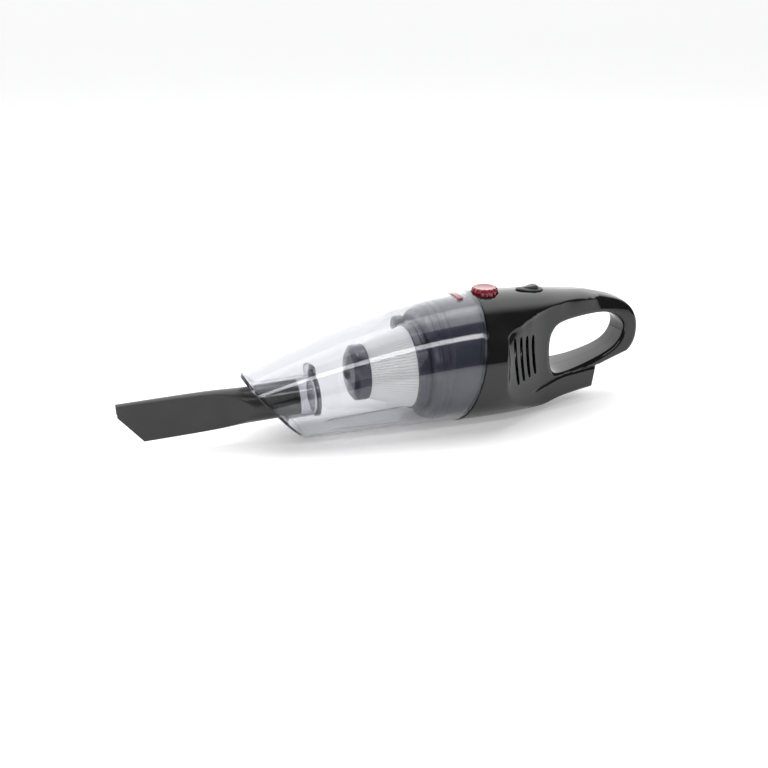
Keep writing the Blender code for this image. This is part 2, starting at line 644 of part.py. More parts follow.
def outline_rounding(points):
    """Edge rounding along the outer outline: none on the barrel and the belly, full round the handle."""
    x = points[:, 0]
    z = points[:, 1]
    upper = stations(x, np.array([150, 185, 220]) * MM, np.array([0, EDGE_ROUND, EDGE_ROUND]))
    lower = stations(x, np.array([100, 135, 220]) * MM, np.array([0, 3.0 * MM, EDGE_ROUND]))
    seam = np.abs(x - SEAM_FOOT_X - SEAM_LEAN * z) < 0.5 * MM
    return np.where(seam, 0.0, np.where(z > HOLE_CENTRE[1], upper, lower))


def skin_rows(inset, depths_hole, shares, depths_outer):
    """Rows of points from the finger hole to the outer outline, over one side of the housing."""
    angles = housing_angles()
    hole = ray_hits(hole_outline(inset), angles)
    outer = ray_hits(outer_outline(inset), angles)
    seam = np.abs(outer[:, 0] - SEAM_FOOT_X - SEAM_LEAN * outer[:, 1]) < 1.0 * MM
    full = outer - hole
    length = np.linalg.norm(full, axis=1)
    rounding = outline_rounding(outer)
    rows = []

    def row(travel, wall=None):
        point = hole + full * (travel / length)[:, None]
        width = half_width(point[:, 0], point[:, 1], inset)
        from_hole = travel + inset
        from_outer = length - travel + inset
        width = width - edge_drop(from_hole, np.minimum(EDGE_ROUND * 0.9, width)) * (inset == 0.0)
        limit = np.where(seam, 0.0, np.minimum(rounding, width))
        width = width - edge_drop(from_outer, limit) * (inset == 0.0)
        side = np.maximum(width, 0.0)
        if wall is not None:
            side = side * 0.0
        return np.column_stack((point[:, 0], side, point[:, 1]))

    tight = np.minimum(1.0, 0.8 * length / (depths_hole[-1] + depths_outer[0]))
    start = depths_hole[-1] * tight
    end = depths_outer[0] * tight
    rows.append(row(length * 0.0, wall=True))
    for depth in depths_hole:
        rows.append(row(depth * tight))
    for share in shares:
        rows.append(row(start + (length - start - end) * share))
    for depth in depths_outer:
        rows.append(row(length - depth * tight))
    rows.append(row(length, wall=True))
    return rows, seam


def make_half(name, side, materials):
    """One half of the housing: an outer and an inner skin, joined round the split, the hole and the seam."""
    edge = EDGE_ROUND
    outer, seam = skin_rows(0.0, [0.0, 0.3 * edge, edge], [0.14, 0.3, 0.46, 0.6, 0.74, 0.87],
                            [edge * 1.1, 0.32 * edge, 0.0])
    inner, _ = skin_rows(HOUSING_WALL, [0.0, 0.5 * edge], [0.18, 0.36, 0.52, 0.68, 0.84], [edge * 0.6, 0.0])
    bm = bmesh.new()
    grids = []
    for rows in (outer, inner):
        grid = []
        for points in rows:
            grid.append([bm.verts.new((x, side * (y + SPLIT), z)) for x, y, z in points])
        grids.append(grid)
    count = len(outer[0])
    for grid in grids:
        for near, far in zip(grid[:-1], grid[1:]):
            for i in range(count):
                j = (i + 1) % count
                corners = (near[i], near[j], far[j], far[i])
                if seam[i] and seam[j] and far is grid[-1]:
                    continue
                fill(bm, corners)
    skin, lining = grids
    for i in range(count):
        j = (i + 1) % count
        fill(bm, (skin[0][i], skin[0][j], lining[0][j], lining[0][i]))
        if seam[i] and seam[j]:
            fill(bm, (skin[-2][i], skin[-2][j], lining[-2][j], lining[-2][i]))
        else:
            fill(bm, (skin[-1][i], skin[-1][j], lining[-1][j], lining[-1][i]))
    loose_ends(bm, skin, lining, seam)
    spare = [vert for vert in bm.verts if not vert.link_faces]
    bmesh.ops.delete(bm, geom=spare, context="VERTS")
    return finish(name, bm, materials["gloss_black"], 30.0)


def fill(bm, corners):
    """Make a face of the corners, leaving out the ones that coincide."""
    kept = []
    for vert in corners:
        if all((vert.co - other.co).length > TINY for other in kept):
            kept.append(vert)
    if len(kept) > 2:
        bm.faces.new(kept)


def loose_ends(bm, skin, lining, seam):
    """Close the two small faces where the seam's edge reaches the split plane."""
    count = len(seam)
    for i in range(count):
        if seam[i] and not (seam[i - 1] and seam[(i + 1) % count]):
            fill(bm, (skin[-1][i], skin[-2][i], lining[-2][i], lining[-1][i]))


def vent_cutters(side):
    """Four curved slots through one side panel; they lean back as they go down."""
    cutters = []
    for i in range(4):
        top = (84.0 + 6.9 * i) * MM
        high = (72.5 - 1.0 * i) * MM
        low = (34.6 + 1.05 * i) * MM
        lean = (5.6 - 0.4 * i) * MM
        half = 1.55 * MM
        heights = np.linspace(high, low, 6)
        middle = top + lean * ((high - heights) / (high - low))**1.8
        front = [(x - half, z) for x, z in zip(middle, heights)]
        back = [(x + half, z) for x, z in zip(middle[::-1], heights[::-1])]
        near = side * 18.0 * MM
        far = side * 60.0 * MM
        cutters.append(plate("vent_slot", front + back, min(near, far), max(near, far), None))
    return cutters


def screw_places():
    """Side-view positions of the housing screws."""
    return [(x * MM, z * MM) for x, z in SCREWS]


def make_housing(materials):
    """Both halves with their vents, screw bosses and the openings on top and at the rear."""
    for name, side in (("housing_left", -1), ("housing_right", 1)):
        half = make_half(name, side, materials)
        bosses = []
        ways = []
        for x, z in screw_places():
            reach = float(half_width(np.array([x]), np.array([z]))[0])
            stout = 3.4 * MM if side < 0 else 5.0 * MM
            bosses.append(rod("boss", stout, (x, side * SPLIT, z), (x, side * (reach - 0.9 * MM), z), None, 12))
            ways.append(screw_way(side, x, reach, z))
        button_hole = rod("button_hole", BUTTON_RADIUS + 0.5 * MM, (BUTTON_X, 0, 80 * MM), (BUTTON_X, 0, 120 * MM),
                          None, 32)
        switch_hole = box("switch_hole", (SWITCH_X - 9 * MM, -3.6 * MM, 85 * MM),
                          (SWITCH_X + 9 * MM, 3.6 * MM, 110 * MM), None)
        socket_hole = rod("socket_hole", 4.3 * MM, (157 * MM, 0, SOCKET_Z), (190 * MM, 0, SOCKET_Z), None, 20)
        join(half, gather("bosses", bosses))
        cut(half, gather("openings", vent_cutters(side) + ways + [button_hole, switch_hole, socket_hole]))


def screw_way(side, x, reach, z):
    """The hole for one screw: a clearance hole and a head seat on the right, a blind pilot hole on the left."""
    if side > 0:
        low = -1 * MM
        seat = reach - 3.4 * MM
        top = reach + 6 * MM
        profile = [(low, 0.0), (low, 1.7 * MM), (seat, 1.7 * MM), (seat, 3.2 * MM + GAP), (top, 3.2 * MM + GAP),
                   (top, 0.0)]
    else:
        profile = [(-(reach - 4.0 * MM), 0.0), (-(reach - 4.0 * MM), 1.5 * MM), (1 * MM, 1.5 * MM), (1 * MM, 0.0)]
    bm = bmesh.new()
    verts = [bm.verts.new((x + radius, along, z)) for along, radius in profile]
    edges = [bm.edges.new((verts[i], verts[i + 1])) for i in range(len(verts) - 1)]
    bmesh.ops.spin(bm, geom=verts + edges, cent=(x, 0, z), axis=(0, 1, 0), angle=math.tau, steps=12, use_merge=True)
    return finish("screw_way", bm, None)




def make_screws(materials):
    """Pan-head screws driven from the right side into the left half's bosses."""
    for index, (x, z) in enumerate(screw_places(), 1):
        reach = float(half_width(np.array([x]), np.array([z]))[0])
        seat = reach - 3.4 * MM + GAP
        tip = -min(reach - 4.6 * MM, 10.0 * MM)
        profile = [(tip, 0.0), (tip, 1.2 * MM), (seat, 1.2 * MM), (seat, 3.0 * MM), (seat + 1.2 * MM, 3.0 * MM),
                   (seat + 2.2 * MM, 1.9 * MM), (seat + 2.2 * MM, 0.0)]
        screw = turned(f"housing_screw_{index}", profile, (x, 0.0, z), materials["steel"], 12, "Y")
        slot = box("screw_slot", (x - 2.0 * MM, seat + 1.4 * MM, z - 0.35 * MM),
                   (x + 2.0 * MM, seat + 4 * MM, z + 0.35 * MM), None)
        cut(screw, slot)


# ---- release button, latch and switch ----------------------------------------------------------------------
def make_release(materials):
    """The red release button, the latch bar that it pushes down, and the spring under it."""
    lobes = 14
    ripple = []
    for i in range(lobes * 4):
        angle = math.tau * i / (lobes * 4)
        radius = BUTTON_RADIUS - 0.35 * MM * (1.0 - math.cos(angle * lobes))
        ripple.append((BUTTON_X + radius * math.cos(angle), radius * math.sin(angle)))
    button = plate("release_button", ripple, 92.4 * MM, BUTTON_TOP, materials["red"], across="Z")
    button.modifiers.new("edge", "BEVEL").width = 0.8 * MM
    button.modifiers["edge"].limit_method = "ANGLE"
    button.modifiers["edge"].angle_limit = math.radians(60)
    bar = box("latch_bar", (LATCH_X - 2.2 * MM, -5.5 * MM, 90.6 * MM),
              (BUTTON_X + 7.0 * MM, 5.5 * MM, 92.1 * MM), materials["red"])
    nose_top = body_ring(LATCH_X, 0.0, CUP_WALL + 0.35 * MM, 0.0)[:, 2].max()
    nose = box("latch_nose", (LATCH_X - 2.2 * MM, -8.6 * MM, 91.0 * MM),
               (LATCH_X + 2.2 * MM, 8.6 * MM, nose_top), None)
    curve_trim = body_rings(LATCH_X - 20 * MM, 0.0, LATCH_X + 20 * MM, 0.0, 2, CUP_WALL + 0.35 * MM, 0.0)
    keep = loft("nose_limit", curve_trim, None)
    boolean(nose, keep, "INTERSECT")
    join(bar, nose)
    coil_spring("release_spring", 3.2 * MM, 0.4 * MM, 3.5, (BUTTON_X, 0.0), 82.2 * MM, 90.2 * MM, materials["steel"])
    return button, bar


def coil_spring(name, radius, wire, turns, place, low, high, material):
    """A compression spring: a helix of round wire with capped ends."""
    steps = int(turns * 12)
    curve = bpy.data.curves.new(name, "CURVE")
    curve.dimensions = "3D"
    curve.bevel_depth = wire
    curve.bevel_resolution = 1
    curve.use_fill_caps = True
    spline = curve.splines.new("POLY")
    spline.points.add(steps)
    for i in range(steps + 1):
        share = i / steps
        angle = math.tau * turns * share
        height = low + wire + (high - low - 2 * wire) * share
        spline.points[i].co = (place[0] + radius * math.cos(angle), place[1] + radius * math.sin(angle), height, 1.0)
    curve.materials.append(material)
    thing = bpy.data.objects.new(name, curve)
    bpy.context.collection.objects.link(thing)
    return thing


def tilt_with_spine(thing):
    """Turn a piece's mesh about the switch's place so that it follows the slope of the housing's top."""
    centre = Vector((SWITCH_X, 0.0, float(spine_top(SWITCH_X))))
    turn = Matrix.Translation(centre) @ Matrix.Rotation(SWITCH_TILT, 4, "Y") @ Matrix.Translation(-centre)
    thing.data.transform(turn)
    return thing


def leaf_ring(share):
    """One section across the leaf-shaped bezel, at a share of its length; it bends with the housing's crown."""
    along = 2.0 * share - 1.0
    wide = LEAF_WIDTH * math.sqrt(max(1.0 - along**2, 0.0)) * (0.62 + 0.38 * share) + 0.4 * MM
    top = float(spine_top(SWITCH_X))
    across = np.linspace(-1.0, 1.0, 7) * wide
    crown = top - across**2 / (2.0 * float(barrel_radius(SWITCH_X)))
    x = SWITCH_X + LEAF_LENGTH * 0.5 * along
    upper = [(x, y, z + LEAF_TOP * (1.0 - 0.35 * (y / wide)**4)) for y, z in zip(across, crown)]
    lower = [(x, y, z + 0.5 * MM) for y, z in zip(across[::-1], crown[::-1])]
    return upper + lower


def make_switch(materials):
    """The leaf-shaped bezel let into the top, the sliding thumb wedge and the switch body below."""
    top = float(spine_top(SWITCH_X))
    bezel = tilt_with_spine(loft("switch_bezel", [leaf_ring(share) for share in LEAF_SHARES],
                                 materials["satin_black"]))
    window = box("bezel_window", (SWITCH_X - 8.4 * MM, -3.2 * MM, top - 5 * MM),
                 (SWITCH_X + 8.4 * MM, 3.2 * MM, top + 5 * MM), None)
    cut(bezel, window)
    rest = SWITCH_X + 1.6 * MM
    wedge = [(rest - 6.0 * MM, top + 0.6 * MM), (rest - 5.6 * MM, top + 1.9 * MM), (rest + 3.0 * MM, top + 3.6 * MM),
             (rest + 4.6 * MM, top + 3.3 * MM), (rest + 5.6 * MM, top + 0.6 * MM)]
    slider = tilt_with_spine(plate("switch_slider", wedge, -2.8 * MM, 2.8 * MM, materials["grey_switch"]))
    stem = box("slider_stem", (rest - 1.5 * MM, -1.4 * MM, top - 5.6 * MM), (rest + 1.5 * MM, 1.4 * MM, top + 1 * MM),
               None)
    join(slider, stem)
    body = box("switch_body", (SWITCH_X - 8 * MM, -4 * MM, top - 12.0 * MM), (SWITCH_X + 8 * MM, 4 * MM, top - 4.6 * MM),
               materials["satin_black"])
    pocket = box("body_slot", (SWITCH_X - 6.5 * MM, -1.8 * MM, top - 7.0 * MM),
                 (SWITCH_X + 6.5 * MM, 1.8 * MM, top), None)
    cut(body, pocket)
    return slider


# ---- fan, motor, battery and electrics ---------------------------------------------------------------------
def body_turned(name, profile, material, segments=32):
    """A piece turned about the body's axis, with its profile in millimetres."""
    return turned(name, [(x * MM, r * MM) for x, r in profile], (0.0, 0.0, AXIS_Z), material, segments)


def make_fan(materials):
    """The shroud with its inlet eye, the bladed impeller and the plate that carries the motor."""
    body_turned("fan_shroud", [(64, 12), (64, 33.5), (79, 33.5), (79, 32), (65.8, 32), (65.8, 13.6),
                               (62.6, 13.6), (62.6, 12)], materials["white_plastic"])
    impeller = body_turned("impeller", [(77.4, 2.0), (77.4, 30.5), (75.8, 30.5), (75.8, 5), (70, 5), (70, 2.0)],
                           materials["fan_grey"], 32)
    blades = []
    for i in range(9):
        angle = math.tau * i / 9
        blade = box("blade", (68.2 * MM, 4.2 * MM, -0.6 * MM), (76.2 * MM, 24.5 * MM, 0.6 * MM), None)
        swing = Matrix.Rotation(angle, 4, "X") @ Matrix.Translation((0, 0, 5 * MM))
        blade.data.transform(Matrix.Translation((0, 0, AXIS_Z)) @ swing)
        blades.append(blade)
    join(impeller, gather("blades", blades))
    ring = body_turned("motor_plate", [(79.3, 8.0), (79.3, 40.5), (81.4, 40.5), (81.4, 8.0)],
                       materials["white_plastic"], 32)
    ports = []
    for i in range(8):
        angle = math.tau * (i + 0.5) / 8
        centre = Vector((0, math.sin(angle), math.cos(angle))) * 28 * MM + Vector((0, 0, AXIS_Z))
        ports.append(rod("air_port", 6.5 * MM, centre + Vector((70 * MM, 0, 0)), centre + Vector((90 * MM, 0, 0)),
                         None, 12))
    cut(ring, gather("air_ports", ports))
    cut(ring, plate("plate_side_trim", [(70 * MM, -20 * MM), (90 * MM, -20 * MM), (90 * MM, 27.6 * MM),
                                        (70 * MM, 27.6 * MM)], -60 * MM, 60 * MM, None))
    return impeller


def make_motor(materials):
    """The motor: can, end cap, two magnets, and the shaft with its armature."""
    body_turned("motor_can", [(81.8, 4.0), (81.8, 13.9), (112, 13.9), (112, 12.7), (83.2, 12.7), (83.2, 4.0)],
                materials["steel"], 28)
    body_turned("motor_end_cap", [(112.3, 1.6), (112.3, 13.9), (115.4, 13.9), (115.4, 5), (117.4, 5), (117.4, 1.6)],
                materials["white_plastic"], 28)
    shaft = body_turned("motor_shaft", [(68.6, 0), (68.6, 1.2), (118.4, 1.2), (118.4, 0)], materials["steel"], 16)
    armature = body_turned("armature", [(86, 1.5), (86, 9.0), (104, 9.0), (104, 4.2), (110, 4.2), (110, 1.5)],
                           materials["steel"], 24)
    for index, side in enumerate((-1, 1), 1):
        magnet = body_turned(f"motor_magnet_{index}", [(87, 9.9), (87, 12.3), (103, 12.3), (103, 9.9)],
                             materials["magnet"], 28)
        half = box("magnet_half", (80 * MM, min(side * 2.5, -side * 20) * MM, AXIS_Z - 20 * MM),
                   (110 * MM, max(side * 2.5, -side * 20) * MM, AXIS_Z + 20 * MM), None)
        cut(magnet, half)
    body_turned("motor_mount", [(81.9, 14.3), (81.9, 18.2), (92, 18.2), (92, 14.3)], materials["rubber"], 28)
    return shaft, armature


def make_power(materials):
    """Two battery cells, their tray, the circuit board and the charging socket."""
    for index, side in enumerate((-1, 1), 1):
        turned(f"battery_cell_{index}", [(88 * MM, 0), (88 * MM, 9.1 * MM), (124.6 * MM, 9.1 * MM),
                                         (124.6 * MM, 2.6 * MM), (125.8 * MM, 2.6 * MM), (125.8 * MM, 0)],
               (0.0, side * 9.4 * MM, CELL_Z), materials["cell_wrap"], 24)
    tray = box("battery_tray", (87 * MM, -16.5 * MM, CELL_Z + 9.4 * MM), (135 * MM, 16.5 * MM, CELL_Z + 10.5 * MM),
               materials["satin_black"])
    ribs = [box("tray_rib", (x * MM, -1.4 * MM, CELL_Z + 6.0 * MM), ((x + 2) * MM, 1.4 * MM, CELL_Z + 10 * MM), None)
            for x in (92.0, 130.0)]
    join(tray, gather("tray_ribs", ribs))
    board_low = CELL_Z + 12.0 * MM
    board = box("circuit_board", (96 * MM, -13 * MM, board_low), (121 * MM, 13 * MM, board_low + 1.6 * MM),
                materials["board_green"])
    chip = box("board_chip", (104 * MM, -5 * MM, board_low + 1 * MM), (113 * MM, 5 * MM, board_low + 2.6 * MM), None)
    posts = [box("board_post", (x * MM, 9 * MM, CELL_Z + 10.5 * MM + GAP), ((x + 2) * MM, 11 * MM, board_low + 1 * MM),
                 None) for x in (97.5, 117.5)]
    join(board, gather("board_parts", [chip] + posts))
    turned("charge_socket", [(157 * MM, 0), (157 * MM, 3.9 * MM), (171.2 * MM, 3.9 * MM), (171.2 * MM, 2.8 * MM),
                             (161 * MM, 2.8 * MM), (161 * MM, 0.9 * MM), (170 * MM, 0.9 * MM), (170 * MM, 0.0)],
           (0.0, 0.0, SOCKET_Z), materials["satin_black"], 20)


def hang(name, place, pieces, centre):
    """Hang pieces from a new empty that stands on their joint, without moving them."""
    joint = bpy.data.objects.new(name, None)
    bpy.context.collection.objects.link(joint)
    joint.parent = centre
    joint.location = place
    for piece in pieces:
        piece.parent = joint
        piece.location = Vector(piece.location) - Vector(place)


def main():
    """Build every sub-part and hang all of them from the empty at the middle of the length."""
    clear_scene()
    materials = make_materials()
    cup = make_dust_cup(materials)
    flap, pin = make_flap(materials)
    nozzle = make_nozzle(materials)
    filter_parts = make_filter(materials)
    make_holder(materials)
    make_seal(materials)
    make_housing(materials)
    make_screws(materials)
    button, latch_bar = make_release(materials)
    slider = make_switch(materials)
    impeller = make_fan(materials)
    shaft, armature = make_motor(materials)
    make_power(materials)
    centre = bpy.data.objects.new("vacuum_centre", None)
    bpy.context.collection.objects.link(centre)
    centre.location = (MIDDLE_X, 0.0, 0.0)
    hang("cup_slide", (SEAM_FOOT_X, 0.0, AXIS_Z), [cup, pin], centre)
    hang("flap_hinge", FLAP_PIN, [flap], centre)
    hang("nozzle_slide", TUBE_END, [nozzle], centre)
    hang("filter_pull", (0.0, 0.0, FILTER_Z), filter_parts, centre)
    hang("button_press", (BUTTON_X, 0.0, BUTTON_TOP), [button, latch_bar], centre)
    hang("switch_slide", (SWITCH_X, 0.0, float(spine_top(SWITCH_X))), [slider], centre)
    hang("rotor_spin", (FAN_X, 0.0, AXIS_Z), [impeller, shaft, armature], centre)
    for thing in bpy.data.objects:
        if thing is not centre and thing.parent is None:
            thing.parent = centre


main()
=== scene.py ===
"""The looks of a handheld vacuum cleaner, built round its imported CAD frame.

Shapes are worked out in the maker's frame, in millimetres: x runs from the nozzle to the handle, y across
and z up, with x counted from the middle of the dust cup. The workshop moves each one into the CAD frame.
"""

import logging
import math
from dataclasses import dataclass, field
from enum import Enum
from typing import Callable, Optional, Sequence

import bmesh
import bpy
import numpy as np
from mathutils import Matrix, Vector


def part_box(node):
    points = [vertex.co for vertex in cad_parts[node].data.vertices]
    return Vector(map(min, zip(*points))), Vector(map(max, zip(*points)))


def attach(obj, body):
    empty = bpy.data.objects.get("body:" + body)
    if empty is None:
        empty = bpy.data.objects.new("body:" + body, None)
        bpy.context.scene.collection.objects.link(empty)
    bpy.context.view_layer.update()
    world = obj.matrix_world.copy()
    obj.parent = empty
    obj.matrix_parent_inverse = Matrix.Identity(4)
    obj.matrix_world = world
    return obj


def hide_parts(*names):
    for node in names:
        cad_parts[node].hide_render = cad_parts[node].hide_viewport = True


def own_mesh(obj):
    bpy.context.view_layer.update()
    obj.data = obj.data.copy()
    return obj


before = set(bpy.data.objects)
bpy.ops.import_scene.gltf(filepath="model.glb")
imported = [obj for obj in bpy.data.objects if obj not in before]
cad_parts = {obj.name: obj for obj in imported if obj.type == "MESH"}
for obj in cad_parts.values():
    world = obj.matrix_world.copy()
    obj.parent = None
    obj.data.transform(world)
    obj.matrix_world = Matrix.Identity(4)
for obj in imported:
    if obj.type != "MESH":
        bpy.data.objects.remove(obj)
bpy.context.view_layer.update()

LOG = logging.getLogger("vacuum")
DUST_COLOUR = (0.55, 0.54, 0.52)
MM = 0.001
MERGE_DISTANCE = 0.000002
Grid = np.ndarray
Tree = bpy.types.NodeTree
Node = bpy.types.Node
Socket = bpy.types.NodeSocket
Material = bpy.types.Material
Piece = bpy.types.Object


class Slot(str, Enum):
    """The record's material slots."""

    GLOSS_BLACK = "gloss_black"
    SATIN_BLACK = "satin_black"
    GREY_SWITCH = "grey_switch"
    CLEAR = "clear"
    SMOKE = "smoke_rubber"
    SLATE = "slate"
    RED = "red"
    PAPER = "paper"
    STEEL = "steel"
    RUBBER = "rubber"
    WHITE = "white_plastic"
    FAN_GREY = "fan_grey"
    CELL_WRAP = "cell_wrap"
    BOARD = "board_green"
    MAGNET = "magnet"


class Side(Enum):
    """Which half of the housing a shape belongs to, as the sign of y."""

    LEFT = -1
    RIGHT = 1


# ---- node groups -------------------------------------------------------------------------------------
def new_group(name: str, inputs: Sequence[tuple[str, str, object]],
              outputs: Sequence[tuple[str, str]]) -> tuple[Tree, Node, Node]:
    """Make a shader node group with named sockets.

    Args:
        name: the group's name.
        inputs: each input's name, socket type and default value.
        outputs: each output's name and socket type.

    Returns:
        The group's tree, its input node and its output node.
    """
    tree = bpy.data.node_groups.new(name, "ShaderNodeTree")
    for label, kind, value in inputs:
        tree.interface.new_socket(name=label, in_out="INPUT", socket_type=kind).default_value = value
    for label, kind in outputs:
        tree.interface.new_socket(name=label, in_out="OUTPUT", socket_type=kind)
    return tree, tree.nodes.new("NodeGroupInput"), tree.nodes.new("NodeGroupOutput")


def math_node(tree: Tree, operation: str, first: object, second: object = None,
              clamp: bool = False) -> Socket:
    """Add a Math node.

    Args:
        tree: the tree it goes in.
        operation: the Math node's operation.
        first: a socket or a number.
        second: a socket or a number, or None.
        clamp: whether the result is held between 0 and 1.

    Returns:
        The node's output socket.
    """
    node = tree.nodes.new("ShaderNodeMath")
    node.operation = operation
    node.use_clamp = clamp
    for index, value in enumerate((first, second)):
        if isinstance(value, Socket):
            tree.links.new(value, node.inputs[index])
        elif value is not None:
            node.inputs[index].default_value = value
    return node.outputs[0]


def mix_colour(tree: Tree, factor: Socket, first: object,
               second: object) -> Socket:
    """Add a colour Mix node.

    Args:
        tree: the tree it goes in.
        factor: the share of the second colour.
        first: a colour or a socket.
        second: a colour or a socket.

    Returns:
        The mixed colour's socket.
    """
    node = tree.nodes.new("ShaderNodeMix")
    node.data_type = "RGBA"
    tree.links.new(factor, node.inputs[0])
    for index, value in ((6, first), (7, second)):
        if isinstance(value, Socket):
            tree.links.new(value, node.inputs[index])
        else:
            node.inputs[index].default_value = (*value, 1.0)
    return node.outputs[2]


def spread(tree: Tree, value: Socket, low: float, high: float) -> Socket:
    """Stretch a value so that low gives 0 and high gives 1, with a smooth ramp and both ends held."""
    node = tree.nodes.new("ShaderNodeMapRange")
    node.interpolation_type = "SMOOTHSTEP"
    tree.links.new(value, node.inputs["Value"])
    node.inputs["From Min"].default_value = low
    node.inputs["From Max"].default_value = high
    return node.outputs["Result"]


def noise(tree: Tree, scale: object, detail: float, stretch: Sequence[float] = (1, 1, 1)) -> object:
    """Add a noise texture on Object coordinates.

    Args:
        tree: the tree it goes in.
        scale: features per metre, as a number or a socket.
        detail: how many finer layers are added.
        stretch: how much the coordinates are multiplied along x, y and z.

    Returns:
        The noise value's socket.
    """
    place = tree.nodes.new("ShaderNodeTexCoord")
    mapping = tree.nodes.new("ShaderNodeMapping")
    mapping.inputs["Scale"].default_value = stretch
    tree.links.new(place.outputs["Object"], mapping.inputs["Vector"])
    node = tree.nodes.new("ShaderNodeTexNoise")
    node.inputs["Detail"].default_value = detail
    tree.links.new(mapping.outputs["Vector"], node.inputs["Vector"])
    if isinstance(scale, Socket):
        tree.links.new(scale, node.inputs["Scale"])
    else:
        node.inputs["Scale"].default_value = scale
    return node.outputs["Fac"]


def tone_drift_group() -> Tree:
    """A colour that drifts slowly between two near tones, as pigment does in moulded plastic."""
    tree, given, result = new_group(
        "tone_drift", [("Color", "NodeSocketColor", (0.5, 0.5, 0.5, 1)),
                       ("Second", "NodeSocketColor", (0.4, 0.4, 0.4, 1)),
                       ("Scale", "NodeSocketFloat", 30.0)],
        [("Color", "NodeSocketColor"), ("Mask", "NodeSocketFloat")])
    mask = spread(tree, noise(tree, given.outputs["Scale"], 3.0), 0.3, 0.7)
    drifted = mix_colour(tree, mask, given.outputs["Color"], given.outputs["Second"])
    tree.links.new(drifted, result.inputs["Color"])
    tree.links.new(mask, result.inputs["Mask"])
    return tree


def edge_wear_group() -> Tree:
    """Convex edges rubbed to a lighter tone, broken up by fine noise."""
    tree, given, result = new_group(
        "edge_wear", [("Color", "NodeSocketColor", (0.5, 0.5, 0.5, 1)),
                      ("Worn", "NodeSocketColor", (0.6, 0.6, 0.6, 1)), ("Amount", "NodeSocketFloat", 0.3)],
        [("Color", "NodeSocketColor"), ("Mask", "NodeSocketFloat")])
    shape = tree.nodes.new("ShaderNodeNewGeometry")
    convex = spread(tree, shape.outputs["Pointiness"], 0.53, 0.62)
    broken = spread(tree, noise(tree, 420.0, 2.0), 0.35, 0.65)
    rubbed = math_node(tree, "MULTIPLY", convex, broken)
    mask = math_node(tree, "MULTIPLY", rubbed, given.outputs["Amount"], True)
    worn = mix_colour(tree, mask, given.outputs["Color"], given.outputs["Worn"])
    tree.links.new(worn, result.inputs["Color"])
    tree.links.new(mask, result.inputs["Mask"])
    return tree


def settled_dust_group() -> Tree:
    """A mask of fine dust and handling smears, heavier on faces that look up."""
    tree, given, result = new_group(
        "settled_dust", [("Amount", "NodeSocketFloat", 0.2), ("Scale", "NodeSocketFloat", 60.0)],
        [("Mask", "NodeSocketFloat")])
    shape = tree.nodes.new("ShaderNodeNewGeometry")
    parts = tree.nodes.new("ShaderNodeSeparateXYZ")
    tree.links.new(shape.outputs["Normal"], parts.inputs[0])
    up = spread(tree, parts.outputs["Z"], -0.2, 1.0)
    smear = spread(tree, noise(tree, given.outputs["Scale"], 5.0, (0.4, 1.0, 1.0)), 0.42, 0.78)
    specks = spread(tree, noise(tree, 1500.0, 1.0), 0.72, 0.78)
    both = math_node(tree, "MAXIMUM", math_node(tree, "MULTIPLY", smear, up),
                     math_node(tree, "MULTIPLY", specks, 0.6))
    tree.links.new(math_node(tree, "MULTIPLY", both, given.outputs["Amount"], True), result.inputs["Mask"])
    return tree


def mould_grain_group() -> Tree:
    """Height of a moulded skin: a slow waviness with a fine grain on it."""
    tree, given, result = new_group(
        "mould_grain", [("Wave", "NodeSocketFloat", 50.0), ("Grain", "NodeSocketFloat", 1800.0),
                        ("Share", "NodeSocketFloat", 0.3)],
        [("Height", "NodeSocketFloat")])
    slow = noise(tree, given.outputs["Wave"], 1.0)
    fine = math_node(tree, "MULTIPLY", noise(tree, given.outputs["Grain"], 2.0), given.outputs["Share"])
    tree.links.new(math_node(tree, "ADD", slow, fine), result.inputs["Height"])
    return tree


class Groups:
    """The shared effects, each built once."""

    def __init__(self) -> None:
        """Build every group."""
        self.tone = tone_drift_group()
        self.wear = edge_wear_group()
        self.dust = settled_dust_group()
        self.grain = mould_grain_group()

    def place(self, tree: Tree, group: Tree, **values: object) -> Node:
        """Put a group in a material.

        Args:
            tree: the material's node tree.
            group: the group to place.
            values: what its inputs are set to or linked from, by name.

        Returns:
            The group's node.
        """
        node = tree.nodes.new("ShaderNodeGroup")
        node.node_tree = group
        for name, value in values.items():
            if isinstance(value, Socket):
                tree.links.new(value, node.inputs[name])
            else:
                node.inputs[name].default_value = value
        return node


# ---- finishes ----------------------------------------------------------------------------------------
def shader_tree(name: str, **constants: float) -> tuple[Material, Tree, Node]:
    """Start a material with a Principled shader and set its plain sockets.

    Args:
        name: the material's name.
        constants: socket values, with underscores for spaces in the socket's name.

    Returns:
        The material, its tree and its shader.
    """
    material = bpy.data.materials.new(name)
    material.use_nodes = True
    tree = material.node_tree
    shader = tree.nodes["Principled BSDF"]
    for label, value in constants.items():
        shader.inputs[label.replace("_", " ")].default_value = value
    return material, tree, shader


def bump_into(tree: Tree, shader: Node, height: Socket, strength: float,
              distance: float) -> None:
    """Feed a height into the shader's normal through a Bump node."""
    bump = tree.nodes.new("ShaderNodeBump")
    bump.inputs["Strength"].default_value = strength
    bump.inputs["Distance"].default_value = distance
    tree.links.new(height, bump.inputs["Height"])
    tree.links.new(bump.outputs["Normal"], shader.inputs["Normal"])


